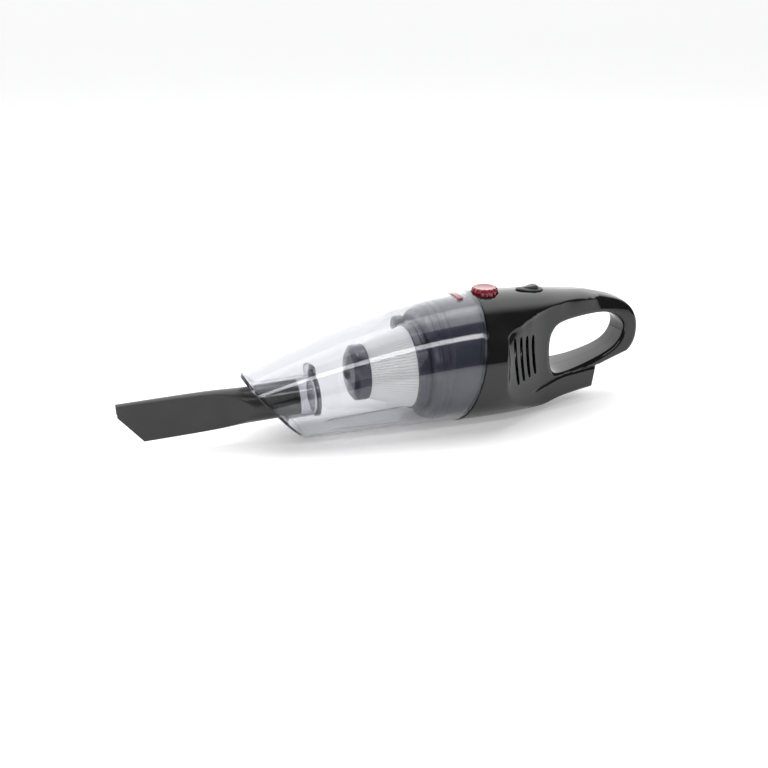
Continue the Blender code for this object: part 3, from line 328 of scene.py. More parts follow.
@dataclass(frozen=True)
class MouldedPlastic:
    """An opaque moulded plastic: drifting pigment, worn edges, dust and a moulded skin."""

    name: str
    colour: tuple[float, float, float]
    second: tuple[float, float, float]
    roughness: float
    smear: float = 0.12
    wear: float = 0.35
    dust: float = 0.25
    grain: float = 0.3
    wave: float = 45.0
    depth: float = 0.00002
    coat: float = 0.0
    metallic: float = 0.0

    def build(self, groups: Groups) -> Material:
        """Make the material.

        Args:
            groups: the shared effects.

        Returns:
            The finished material.
        """
        material, tree, shader = shader_tree(self.name, Metallic=self.metallic, Coat_Weight=self.coat,
                                             Coat_Roughness=0.04)
        light = tuple(min(part * 1.8 + 0.02, 0.9) for part in self.colour)
        tone = groups.place(tree, groups.tone, Color=(*self.colour, 1), Second=(*self.second, 1),
                            Scale=24.0)
        worn = groups.place(tree, groups.wear, Color=tone.outputs["Color"], Worn=(*light, 1),
                            Amount=self.wear)
        dust = groups.place(tree, groups.dust, Amount=self.dust, Scale=55.0)
        film = math_node(tree, "MULTIPLY", dust.outputs["Mask"], 0.12)
        dulled = mix_colour(tree, film, worn.outputs["Color"], DUST_COLOUR)
        tree.links.new(dulled, shader.inputs["Base Color"])
        smeared = math_node(tree, "MULTIPLY", dust.outputs["Mask"], self.smear)
        rough = math_node(tree, "ADD", smeared, self.roughness)
        rough = math_node(tree, "ADD", rough, math_node(tree, "MULTIPLY", worn.outputs["Mask"], 0.25), True)
        tree.links.new(rough, shader.inputs["Roughness"])
        grain = groups.place(tree, groups.grain, Wave=self.wave, Share=self.grain)
        bump_into(tree, shader, grain.outputs["Height"], 0.5, self.depth)
        return material


@dataclass(frozen=True)
class ClearPlastic:
    """A see-through moulded plastic with a faint tint, flow lines and light handling smears.

    The cloud is how much light the plastic itself soaks up in each metre; at 0 only its skin is tinted.
    """

    name: str
    colour: tuple[float, float, float]
    second: tuple[float, float, float]
    roughness: float = 0.0
    smear: float = 0.06
    index: float = 1.46
    depth: float = 0.00001
    cloud: float = 0.0

    def build(self, groups: Groups) -> Material:
        """Make the material.

        Args:
            groups: the shared effects.

        Returns:
            The finished material.
        """
        material, tree, shader = shader_tree(self.name, Transmission_Weight=1.0, IOR=self.index)
        tone = groups.place(tree, groups.tone, Color=(*self.colour, 1), Second=(*self.second, 1),
                            Scale=18.0)
        tree.links.new(tone.outputs["Color"], shader.inputs["Base Color"])
        dust = groups.place(tree, groups.dust, Amount=0.5, Scale=40.0)
        smeared = math_node(tree, "MULTIPLY", dust.outputs["Mask"], self.smear)
        rough = math_node(tree, "ADD", smeared, self.roughness)
        tree.links.new(rough, shader.inputs["Roughness"])
        grain = groups.place(tree, groups.grain, Wave=35.0, Share=0.02)
        bump_into(tree, shader, grain.outputs["Height"], 0.3, self.depth)
        if self.cloud:
            body = tree.nodes.new("ShaderNodeVolumeAbsorption")
            body.inputs["Color"].default_value = (0.0, 0.0, 0.08, 1)
            body.inputs["Density"].default_value = self.cloud
            tree.links.new(body.outputs[0], tree.nodes["Material Output"].inputs["Volume"])
        return material


@dataclass(frozen=True)
class PleatedPaper:
    """Filter paper: soft white, with painted shade in the folds (greyer and a little warmer there), a
    painted glow from within and a fibrous skin.
    """

    name: str
    crest: tuple[float, float, float] = (0.97, 0.97, 0.965)
    # painted shade: the valley colour is a darker grey that stands in for the shade falling in the pleats'
    # folds
    valley_shade: tuple[float, float, float] = (0.74, 0.735, 0.73)
    fibre: tuple[float, float, float] = (0.86, 0.855, 0.84)

    def build(self, groups: Groups) -> Material:
        """Make the material.

        Args:
            groups: the shared effects.

        Returns:
            The finished material.
        """
        # the emission is a painted glow: the paper is lit from within to look brighter, though it is no
        # lamp
        material, tree, shader = shader_tree(self.name, Sheen_Weight=0.25, Emission_Strength=0.17)
        shader.inputs["Emission Color"].default_value = (1, 1, 0.99, 1)
        fold = tree.nodes.new("ShaderNodeAttribute")
        fold.attribute_name = "fold"
        # the fold mask paints shade into the folds: the valleys take the darker painted-shade colour, the
        # crests the paper's own white
        mask = spread(tree, fold.outputs["Fac"], 0.0, 0.62)
        fold_shaded = mix_colour(tree, mask, self.valley_shade, self.crest)
        fibre = spread(tree, noise(tree, 900.0, 4.0, (0.3, 1, 1)), 0.35, 0.7)
        paper = mix_colour(tree, math_node(tree, "MULTIPLY", fibre, 0.12), fold_shaded, self.fibre)
        tree.links.new(paper, shader.inputs["Base Color"])
        rough = math_node(tree, "ADD", math_node(tree, "MULTIPLY", fibre, 0.1), 0.82)
        tree.links.new(rough, shader.inputs["Roughness"])
        grain = groups.place(tree, groups.grain, Wave=400.0, Grain=2600.0, Share=0.6)
        bump_into(tree, shader, grain.outputs["Height"], 0.5, 0.00006)
        return material


@dataclass(frozen=True)
class BareMetal:
    """Drawn or turned metal with fine lines and a patchy sheen."""

    name: str
    colour: tuple[float, float, float]
    roughness: float
    lines: tuple[float, float, float] = (1, 1, 8)

    def build(self, groups: Groups) -> Material:
        """Make the material.

        Args:
            groups: the shared effects.

        Returns:
            The finished material.
        """
        material, tree, shader = shader_tree(self.name, Metallic=1.0)
        darker = tuple(part * 0.7 for part in self.colour)
        tone = groups.place(tree, groups.tone, Color=(*self.colour, 1), Second=(*darker, 1), Scale=90.0)
        tree.links.new(tone.outputs["Color"], shader.inputs["Base Color"])
        drawn = noise(tree, 700.0, 3.0, self.lines)
        tree.links.new(math_node(tree, "ADD", math_node(tree, "MULTIPLY", drawn, 0.25), self.roughness),
                       shader.inputs["Roughness"])
        bump_into(tree, shader, drawn, 0.3, 0.00002)
        return material


FINISHES = {
    Slot.GLOSS_BLACK: MouldedPlastic("gloss_black_shell", (0.006, 0.0062, 0.0065), (0.009, 0.009, 0.0095),
                                     0.035, smear=0.10, wear=0.12, dust=0.12, grain=0.02, depth=0.000006),
    Slot.SATIN_BLACK: MouldedPlastic("satin_black_blade", (0.013, 0.013, 0.0135), (0.02, 0.02, 0.021), 0.34,
                                     smear=0.2, wear=0.5, grain=0.5, depth=0.00004),
    Slot.GREY_SWITCH: MouldedPlastic("grey_thumb_switch", (0.045, 0.047, 0.05), (0.06, 0.062, 0.066), 0.3,
                                     grain=0.4),
    Slot.CLEAR: ClearPlastic("clear_cup", (0.835, 0.838, 0.856), (0.815, 0.818, 0.84), cloud=34.0),
    Slot.SMOKE: ClearPlastic("smoky_flap", (0.17, 0.17, 0.20), (0.12, 0.12, 0.15), roughness=0.12),
    Slot.SLATE: MouldedPlastic("slate_bulkhead", (0.084, 0.090, 0.124), (0.073, 0.080, 0.114), 0.16,
                               smear=0.15, wear=0.3, grain=0.08, depth=0.00001, coat=0.3),
    Slot.RED: MouldedPlastic("red_gloss", (0.25, 0.006, 0.017), (0.20, 0.005, 0.014), 0.09, smear=0.15,
                             wear=0.3, dust=0.2, grain=0.05, coat=0.4),
    Slot.PAPER: PleatedPaper("filter_paper"),
    Slot.STEEL: BareMetal("drawn_steel", (0.56, 0.57, 0.58), 0.22),
    Slot.RUBBER: MouldedPlastic("seal_rubber", (0.03, 0.031, 0.036), (0.04, 0.041, 0.046), 0.5, wear=0.2,
                                grain=0.8),
    Slot.WHITE: MouldedPlastic("white_frame", (0.74, 0.74, 0.72), (0.68, 0.68, 0.66), 0.4, wear=0.1,
                               grain=0.4),
    Slot.FAN_GREY: MouldedPlastic("grey_fan", (0.20, 0.21, 0.22), (0.17, 0.18, 0.19), 0.35, wear=0.3,
                                  grain=0.4),
    Slot.CELL_WRAP: MouldedPlastic("cell_wrap_blue", (0.05, 0.22, 0.42), (0.04, 0.18, 0.36), 0.28, wear=0.5,
                                   grain=0.2),
    Slot.BOARD: MouldedPlastic("board_lacquer", (0.01, 0.12, 0.04), (0.02, 0.17, 0.06), 0.3, wear=0.6,
                               grain=0.9, wave=300.0),
    Slot.MAGNET: MouldedPlastic("dark_magnet", (0.05, 0.05, 0.055), (0.07, 0.07, 0.075), 0.45, wear=0.6,
                                grain=0.9, metallic=0.6),
}


# ---- workshop ----------------------------------------------------------------------------------------
def curve(x: object, places: Sequence[float], values: Sequence[float]) -> np.ndarray:
    """A smooth curve through stations: cubic Hermite pieces whose slopes come from the neighbours.

    Args:
        x: where it is read, as a number or an array.
        places: the stations, rising.
        values: the curve's value at each.

    Returns:
        The values at x, in x's shape; past the ends they stay level.
    """
    at = np.asarray(places, float)
    value = np.asarray(values, float)
    steps = np.diff(value) / np.diff(at)
    inner = 0.5 * (steps[:-1] + steps[1:])
    inner[steps[:-1] * steps[1:] <= 0.0] = 0.0
    slope = np.concatenate(([steps[0]], inner, [steps[-1]]))
    x = np.clip(np.asarray(x, float), at[0], at[-1])
    i = np.clip(np.searchsorted(at, x, side="right") - 1, 0, len(at) - 2)
    step = at[i + 1] - at[i]
    t = (x - at[i]) / step
    return ((2 * t**3 - 3 * t**2 + 1) * value[i] + (t**3 - 2 * t**2 + t) * step * slope[i]
            + (3 * t**2 - 2 * t**3) * value[i + 1] + (t**3 - t**2) * step * slope[i + 1])


def catmull_rom(knots: Grid, shares: Grid) -> Grid:
    """Points on Catmull-Rom curves through every knot but the first and the last.

    Args:
        knots: the knots in order, one row each.
        shares: the places from one knot to the next, from 0 to 1.

    Returns:
        The points in order, one row each.
    """
    t = shares[None, :, None]
    a, b, c, d = (knots[k:len(knots) - 3 + k, None, :] for k in range(4))
    bent = (2 * a - 5 * b + 4 * c - d) * t**2
    points = 0.5 * (2 * b + (c - a) * t + bent + (3 * b - a - 3 * c + d) * t**3)
    return points.reshape(-1, knots.shape[1])


def polyline(corners: Sequence[Sequence[float]], spacing: float, rounding: float = 0.0) -> np.ndarray:
    """Points along straight legs between corners, with each inner corner rounded by a short quadratic bend.

    Args:
        corners: the corners, each of any number of coordinates.
        spacing: the largest step between points, in the first two coordinates' units.
        rounding: how far from a corner its bend starts, held to 45% of the shorter leg.

    Returns:
        The points in order, one row each.
    """
    corner = np.asarray(corners, float)
    legs = np.diff(corner, axis=0)
    length = np.linalg.norm(legs, axis=1)
    pieces = [corner[:1]]
    here = corner[0]
    for i in range(len(legs)):
        last = i == len(legs) - 1
        bend = 0.0 if last else min(rounding, 0.45 * length[i], 0.45 * length[i + 1])
        stop = corner[i + 1] - legs[i] / length[i] * bend
        count = max(int(math.ceil(np.linalg.norm(stop - here) / spacing)), 1)
        pieces.append(here + (stop - here) * np.linspace(0, 1, count + 1)[1:, None])
        here = stop
        if bend > 0:
            after = corner[i + 1] + legs[i + 1] / length[i + 1] * bend
            t = np.linspace(0, 1, 5)[1:, None]
            pieces.append((1 - t)**2 * stop + 2 * (1 - t) * t * corner[i + 1] + t**2 * after)
            here = after
    return np.vstack(pieces)


class Workshop:
    """Turns grids of points into finished pieces: placed, dressed and hung, with the CAD nodes they stand
    for hidden.
    """

    def __init__(self) -> None:
        """Build the materials and find the maker's frame from the flap's hinge pin."""
        groups = Groups()
        self.materials = {slot: finish.build(groups) for slot, finish in FINISHES.items()}
        low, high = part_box("flap_hinge_pin")
        self.shift = (low.x + high.x) / 2 / MM + 69.0

    def mesh(self, name: str, points: Grid, close_along: bool = False, sharp: float = 35.0) -> Piece:
        """Make a closed surface from a grid whose columns run round and whose rows run along.

        Quads join neighbouring rows and columns, the last column joins the first, and either the last row
        joins the first or each end row is closed by a fan to its middle. The whole is turned so that its
        volume is positive.

        Args:
            name: the object's name.
            points: rows by columns by 3, in millimetres of the maker's frame.
            close_along: whether the last row joins the first.
            sharp: edges that turn more than this many degrees stay sharp.

        Returns:
            The object, not yet hung on a body.
        """
        rows, columns, _ = points.shape
        index = np.arange(rows * columns).reshape(rows, columns)
        below = index if close_along else index[:-1]
        above = np.roll(index, -1, axis=0) if close_along else index[1:]
        quads = np.stack((below, np.roll(below, -1, 1), np.roll(above, -1, 1), above), -1).reshape(-1, 4)
        flat = points.reshape(-1, 3)
        fans = []
        if not close_along:
            flat = np.vstack((flat, points[0].mean(0), points[-1].mean(0)))
            for ring, middle, turn in ((index[0], rows * columns, 1), (index[-1], rows * columns + 1, -1)):
                fans.append(np.stack((np.roll(ring, -turn), ring, np.full(columns, middle)), -1))
        return self.raw(name, flat, quads, np.vstack(fans) if fans else np.zeros((0, 3), int), sharp)

    def raw(self, name: str, flat: Grid, quads: np.ndarray, triangles: np.ndarray, sharp: float) -> Piece:
        """Put points, quads and triangles into a mesh, merge what coincides and turn it outward."""
        a, b, c, d = (flat[quads[:, k]] for k in range(4))
        volume = np.einsum("ij,ij->", a, np.cross(b, c)) + np.einsum("ij,ij->", a, np.cross(c, d))
        if len(triangles):
            p, q, r = (flat[triangles[:, k]] for k in range(3))
            volume += np.einsum("ij,ij->", p, np.cross(q, r))
        if volume < 0:
            quads, triangles = quads[:, ::-1], triangles[:, ::-1]
        place = flat * MM + np.array([self.shift * MM, 0, 0])
        mesh = bpy.data.meshes.new(name)
        mesh.vertices.add(len(place))
        mesh.vertices.foreach_set("co", place.astype(np.float32).ravel())
        mesh.loops.add(quads.size + triangles.size)
        corners = np.concatenate((quads.ravel(), triangles.ravel()))
        mesh.loops.foreach_set("vertex_index", corners.astype(np.int32))
        starts = np.concatenate((np.arange(len(quads)) * 4,
                                 quads.size + np.arange(len(triangles)) * 3))
        mesh.polygons.add(len(starts))
        mesh.polygons.foreach_set("loop_start", starts.astype(np.int32))
        mesh.update(calc_edges=True)
        mesh.validate()
        bm = bmesh.new()
        bm.from_mesh(mesh)
        bmesh.ops.remove_doubles(bm, verts=bm.verts, dist=MERGE_DISTANCE)
        bmesh.ops.dissolve_degenerate(bm, edges=bm.edges, dist=MERGE_DISTANCE / 2)
        bm.to_mesh(mesh)
        bm.free()
        mesh.shade_smooth()
        mesh.set_sharp_from_angle(angle=math.radians(sharp))
        piece = bpy.data.objects.new(name, mesh)
        bpy.context.scene.collection.objects.link(piece)
        return piece

    def carve(self, piece: Piece, cutters: Sequence[Piece], operation: str = "DIFFERENCE",
              sharp: float = 35.0) -> Piece:
        """Take cutters away from a piece, or weld them on, for good.

        Args:
            piece: the piece that is changed.
            cutters: shapes that don't touch each other; they are used up.
            operation: the Boolean operation.
            sharp: edges that turn more than this many degrees stay sharp.

        Returns:
            The piece.
        """
        bm = bmesh.new()
        for cutter in cutters:
            bm.from_mesh(cutter.data)
            bpy.data.objects.remove(cutter, do_unlink=True)
        tool_mesh = bpy.data.meshes.new("cutter")
        bm.to_mesh(tool_mesh)
        bm.free()
        tool = bpy.data.objects.new("cutter", tool_mesh)
        bpy.context.scene.collection.objects.link(tool)
        modifier = piece.modifiers.new("carve", "BOOLEAN")
        modifier.operation = operation
        modifier.solver = "EXACT"
        modifier.object = tool
        bpy.context.view_layer.update()
        evaluated = piece.evaluated_get(bpy.context.evaluated_depsgraph_get())
        result = bpy.data.meshes.new_from_object(evaluated)
        piece.modifiers.clear()
        piece.data = result
        result.shade_smooth()
        result.set_sharp_from_angle(angle=math.radians(sharp))
        bpy.data.objects.remove(tool, do_unlink=True)
        return piece

    def revolve(self, name: str, profile: Sequence[Sequence[float]], height: float, spacing: float = 1.0,
                rounding: float = 0.4, around: int = 128, wobble: Optional[Callable] = None) -> Piece:
        """Turn a closed profile about an axis along x.

        A point (x, r) of the profile becomes (x, r sin u, height - r cos u) for u from 0 to a full turn.

        Args:
            name: the object's name.
            profile: the profile's corners as (x, r), without a repeat of the first.
            height: the axis height.
            spacing: the largest step along the profile.
            rounding: how much its corners are rounded.
            around: how many columns there are.
            wobble: a function of (x, r, u) that gives a radius, or None.

        Returns:
            The piece.
        """
        corners = list(profile)
        closed = corners[0][1] > 0 and corners[-1][1] > 0
        path = polyline(corners + [corners[0]] if closed else corners, spacing, rounding)
        if closed:
            path = path[:-1]
        u = np.linspace(0, math.tau, around, endpoint=False)[None, :]
        x = path[:, :1] + 0 * u
        r = path[:, 1:2] + 0 * u
        if wobble is not None:
            r = wobble(x, r, u)
        return self.mesh(name, np.stack((x, r * np.sin(u), height - r * np.cos(u)), -1), close_along=closed)

    def bar(self, name: str, middle: Sequence[float], size: Sequence[float], power: float = 5.0,
            sag: float = 0.0, columns: int = 48, rows: int = 24) -> Piece:
        """A rounded bar along x: a superellipse section that shrinks towards both ends by the same power.

        The section is |y/b|^p + |z/c|^p = 1, and its size at x is (1 - |x/a|^p)^(1/p).

        Args:
            name: the object's name.
            middle: the bar's middle.
            size: its half sizes a, b and c.
            power: how square it is.
            sag: how far its sides bend down at the widest y, to follow a round body.
            columns: points round the section.
            rows: sections along it.

        Returns:
            The piece.
        """
        run = np.sin(np.linspace(-math.pi / 2, math.pi / 2, rows))[:, None] * 0.9999
        scale = (1 - np.abs(run)**power)**(1 / power)
        u = np.linspace(0, math.tau, columns, endpoint=False)[None, :]
        cos, sin = np.cos(u), np.sin(u)
        y = np.sign(sin) * np.abs(sin)**(2 / power) * scale
        z = -np.sign(cos) * np.abs(cos)**(2 / power) * scale
        x = middle[0] + run * size[0] + 0 * u
        height = middle[2] + z * size[2] - sag * y**2
        return self.mesh(name, np.stack((x, middle[1] + y * size[1], height), -1))

    def hang(self, piece: Piece, slot: Slot, body: str, *nodes: str) -> Piece:
        """Dress a piece, hide the CAD nodes it stands for and hang it on a body.

        Args:
            piece: the finished piece.
            slot: the material slot it takes its finish from.
            body: the CAD body that it rides on.
            nodes: the CAD nodes it stands for.

        Returns:
            The piece.
        """
        piece.data.materials.clear()
        piece.data.materials.append(self.materials[slot])
        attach(piece, body)
        if nodes:
            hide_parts(*nodes)
        LOG.info("%s: %d faces on %s, standing for %s", piece.name, len(piece.data.polygons), body,
                 ", ".join(nodes) or "nothing")
        return piece

    def dress(self, slot: Slot, *nodes: str) -> None:
        """Give CAD nodes whose shape is right their finish."""
        for name in nodes:
            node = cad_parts[name]
            node.data.materials.clear()
            node.data.materials.append(self.materials[slot])
            LOG.info("%s: CAD shape, dressed as %s", name, slot.value)


# ---- the round body ----------------------------------------------------------------------------------
@dataclass
class RoundBody:
    """The tapering round body that the cup, the holder and the seal share; all sizes in millimetres."""

    full_radius: float = 51.8
    narrowing: float = 24.9
    full_x: float = 70.0
    taper_length: float = 195.0
    taper_power: float = 1.646
    seam_foot: float = 45.0
    seam_lean: float = 0.20
    mouth_foot: float = -78.6
    mouth_lean: float = -0.87
    columns: int = 160

    def radius(self, x: Grid) -> Grid:
        """The full radius, less the narrowing times a power of the distance ahead of the fullest place."""
        share = np.clip((self.full_x - x) / self.taper_length, 0.0, 1.0)
        return self.full_radius - self.narrowing * share**self.taper_power

    def axis(self, x: Grid) -> Grid:
        """Height of the axis: a little less than the radius, so that the belly is cut flat by the floor."""
        return self.radius(x) - (0.35 + 1.3 * (x + 78.0) / 135.0)

    def turn(self) -> Grid:
        """The angles round a section, from the bottom."""
        return np.linspace(0, math.tau, self.columns, endpoint=False)

    def section(self, foot: object, lean: object, inset: object, floor: object) -> Grid:
        """Sections in leaning planes x = foot + lean z, where y = r sin u and z = axis - r cos u.

        No point goes below the floor.

        Args:
            foot: x of each plane at floor level.
            lean: each plane's lean.
            inset: how far inside the outer surface each section lies.
            floor: the lowest height of each.

        Returns:
            A grid of one row for each section.
        """
        given = (foot, lean, inset, floor)
        foot, lean, inset, floor = (np.atleast_1d(np.asarray(value, float))[:, None] for value in given)
        u = self.turn()[None, :]
        x = foot + 0 * u
        for _ in range(10):
            radius = self.radius(x) - inset
            z = np.maximum(self.axis(x) - radius * np.cos(u), floor)
            x = foot + lean * z
        return np.stack((x + 0 * u, radius * np.sin(u), z + 0 * u), -1)


@dataclass
class Tube:
    """The inlet tube's own frame, tipped down a little towards the nozzle."""

    end: tuple[float, float] = (-70.0, 32.3)
    tilt: float = math.radians(1.7)
    bore: float = 14.5
    outer: float = 16.4

    def point(self, along: Grid, height: Grid, side: Grid) -> Grid:
        """The place of a point: along runs out of the mouth from the tube's rear end, height across it."""
        x = self.end[0] - along * math.cos(self.tilt) - height * math.sin(self.tilt)
        z = self.end[1] - along * math.sin(self.tilt) + height * math.cos(self.tilt)
        return np.stack(np.broadcast_arrays(x, side, z), -1)

    def to_plane(self, radius: float, foot: float, lean: float, u: Grid) -> Grid:
        """How far along each line of a cylinder the plane x = foot + lean z lies."""
        height = -radius * np.cos(u)
        top = (self.end[0] - height * math.sin(self.tilt) - foot
               - lean * (self.end[1] + height * math.cos(self.tilt)))
        return top / (math.cos(self.tilt) - lean * math.sin(self.tilt))

    def ring(self, along: Grid, radius: float, u: Grid) -> Grid:
        """A ring on a cylinder round the tube's axis."""
        return self.point(along, -radius * np.cos(u), radius * np.sin(u))


# ---- dust cup ----------------------------------------------------------------------------------------
@dataclass
class DustCup:
    """The clear cup: a tapered shell, a slanted mouth with a rounded lip, an inlet tube and small rails."""

    shop: Workshop
    body: RoundBody
    tube: Tube
    wall: float = 2.0
    lip: float = 1.0
    front_wall: float = 2.9
    latch_x: float = 51.0

    def shell(self) -> Piece:
        """The whole cup as one ring-shaped surface: along the shell, back inside it, and through the tube.

        Rows run from the lip along the outer shell to the seam, back along the inner shell to the front
        wall, in across that wall to the tube, along the outside of the tube to its end, back through its
        bore to the mouth, and across the mouth's face to the lip again.

        Returns:
            The piece.
        """
        body, tube = self.body, self.tube
        u = body.turn()
        run = np.linspace(0, 1, 90)**1.1
        foot = body.mouth_foot + 0.4 + (body.seam_foot - 1.0 - body.mouth_foot) * run
        lean = body.mouth_lean + (body.seam_lean - body.mouth_lean) * run
        near = np.clip(run * 145.0 / self.lip, 0, 1)
        inset = self.lip * 0.8 * (1 - np.sqrt(1 - (1 - near)**2))
        outer = body.section(foot, lean, inset, inset)
        edge = body.section(np.full(5, body.seam_foot - 0.6), np.full(5, body.seam_lean),
                            [0.15, 0.5, 1.0, 1.5, 1.85], [0.15, 0.5, 1.0, 1.5, 1.85])
        front = body.mouth_foot + self.front_wall
        back = np.linspace(1, 0, 70)
        inner = body.section(front + (body.seam_foot - 1.0 - front) * back,
                             body.mouth_lean + (body.seam_lean - body.mouth_lean) * back,
                             np.full(70, self.wall), np.full(70, self.wall))
        reach = tube.to_plane(tube.outer, front, body.mouth_lean, u)
        collar = tube.ring(reach, tube.outer, u)
        share = np.linspace(0, 1, 10)[1:-1, None, None]
        wall = inner[-1] + (collar - inner[-1]) * share
        outside = np.stack([tube.ring(reach * k, tube.outer, u) for k in np.linspace(1, 0.02, 14)])
        rim = np.stack([tube.ring(0 * u + a, r, u) for a, r in ((0.05, 16.1), (0.0, 15.5), (0.05, 14.8))])
        reach = tube.to_plane(tube.bore, body.mouth_foot + 0.1, body.mouth_lean, u)
        bore = np.stack([tube.ring(reach * k, tube.bore, u) for k in np.linspace(0.02, 1, 16)])
        lip = body.section(body.mouth_foot, body.mouth_lean, self.lip, self.lip)[0]
        face = bore[-1] + (lip - bore[-1]) * np.linspace(0, 1, 9)[1:, None, None]
        grid = np.concatenate((outer, edge, inner, wall, outside, rim, bore, face))
        cup = self.shop.mesh("cup_shell", grid, close_along=True, sharp=40.0)
        window = self.shop.bar("window", (self.latch_x, 0, 97), (2.65, 9.2, 8), 8.0)
        return self.shop.carve(cup, [window], sharp=40.0)

    def rail(self, name: str, start: Sequence[float], end: Sequence[float], size: float,
             tall: float) -> None:
        """A small clear rail between two points inside the cup.

        Args:
            name: the piece's name.
            start: one end.
            end: the other.
            size: half its width.
            tall: half its height.
        """
        start, end = np.asarray(start, float), np.asarray(end, float)
        t = np.linspace(0, 1, 24)[:, None]
        swell = (1 - np.abs(2 * t - 1)**8)**0.5 * 0.96 + 0.04
        u = np.linspace(0, math.tau, 20, endpoint=False)[None, :]
        middle = start + (end - start) * t
        points = np.stack((middle[:, :1] + 0 * u, middle[:, 1:2] + size * swell * np.sin(u),
                           middle[:, 2:3] - tall * swell * np.cos(u)), -1)
        self.shop.hang(self.shop.mesh(name, points), Slot.CLEAR, "cup")

    def build(self) -> None:
        """Make and hang the cup's pieces."""
        self.shop.hang(self.shell(), Slot.CLEAR, "cup", "dust_cup")
        self.rail("cup_floor_rail_1", (-58, -9, 3.0), (14, -15, 3.2), 0.7, 0.9)
        self.rail("cup_floor_rail_2", (-58, 9, 3.0), (14, 15, 3.2), 0.7, 0.9)
        for index, side in enumerate((-1, 1), 1):
            ear = self.shop.bar(f"flap_ear_{index}", (-71.0, side * 6.6, 51.5), (3.0, 1.6, 4.6), 4.0)
            self.shop.hang(ear, Slot.CLEAR, "cup")


# ---- flap --------------------------------------------------------------------------------------------
@dataclass
class Flap:
    """The smoky check flap behind the tube: a thin disc, a deeper skirt and a knuckle on the hinge pin."""

    shop: Workshop
    tube: Tube
    radius: float = 17.5
    skirt: float = 3.2
    thick: float = 1.0
    gap: float = 0.3

    def build(self) -> None:
        """Make and hang the flap: rings about the tube's axis, over the disc and back under its skirt."""
        u = np.linspace(0, math.tau, 96, endpoint=False)
        face, hem, back = -self.gap, -self.gap - self.skirt, -self.gap - self.thick
        inner = self.radius - self.thick
        path = polyline([(face, 0.2), (face, self.radius), (hem, self.radius), (hem, inner),
                         (back, inner - 0.4), (back, 0.2)], 1.2, 0.35)
        grid = np.stack([self.tube.ring(0 * u + a, r, u) for a, r in path])
        self.shop.hang(self.shop.mesh("flap_dish", grid), Slot.SMOKE, "flap", "inlet_flap")
        knuckle = self.shop.bar("flap_knuckle", (-69.0, 0, 52.6), (1.9, 4.6, 3.6), 4.0)
        self.shop.hang(knuckle, Slot.SMOKE, "flap")


# ---- crevice nozzle ----------------------------------------------------------------------------------
@dataclass
class Nozzle:
    """The crevice nozzle: a round spigot that flattens into a thin blade with a slanted tip."""

    shop: Workshop
    tube: Tube
    insert: float = 12.0
    length: float = 149.0
    wall: float = 1.3

    def section(self, share: Grid, u: Grid, inset: float, start: float) -> Grid:
        """A shell of the nozzle: an upright oval with its sides cut flat, ended by a slanted plane.

        Height is -h cos u and side is w sin u softly held to the flat's width; h, w and the flat are curves
        of the way along.

        Args:
            share: the way along, from 0 to 1, one for each row.
            u: the angles round it.
            inset: how far inside the outer surface.
            start: where it starts along the tube.

        Returns:
            The grid.
        """
        share, u = share[:, None], u[None, :]
        height = 0 * share * u
        for _ in range(6):
            stop = np.where(height > 7.0, self.length, self.length - 18.5 * (7.0 - height) / 23.6)
            along = start + (stop - start) * share
            tall = curve(along, [0, 48, 80, 150], [14.0, 14.0, 15.6, 16.2]) - inset
            height = -tall * np.cos(u)
        wide = curve(along, [0, 48, 80, 150], [14.0, 14.0, 13.0, 11.0]) - inset
        flat = curve(along, [44, 52, 62, 72, 84, 150], [15.0, 12.6, 8.4, 5.6, 4.4, 3.8]) - inset
        side = wide * np.sin(u)
        soft = 0.35
        reach = np.abs(side)
        held = 0.5 * (reach + flat + soft - np.sqrt((reach - flat - soft)**2 + soft**2) - soft)
        side = np.sign(side) * held
        return self.tube.point(along, height, np.clip(side, -flat, flat))

    def build(self) -> None:
        """Make and hang the nozzle: the outer shell to the tip, round its edge, the inner shell back."""
        u = np.linspace(0, math.tau, 144, endpoint=False)
        outer = self.section(np.linspace(0, 1, 110), u, 0.0, self.insert)
        inner = self.section(np.linspace(0.999, 0.001, 80), u, self.wall, self.insert)
        grid = np.concatenate((outer, inner))
        nozzle = self.shop.mesh("nozzle_blade", grid, close_along=True, sharp=32.0)
        self.shop.hang(nozzle, Slot.SATIN_BLACK, "nozzle", "crevice_nozzle")


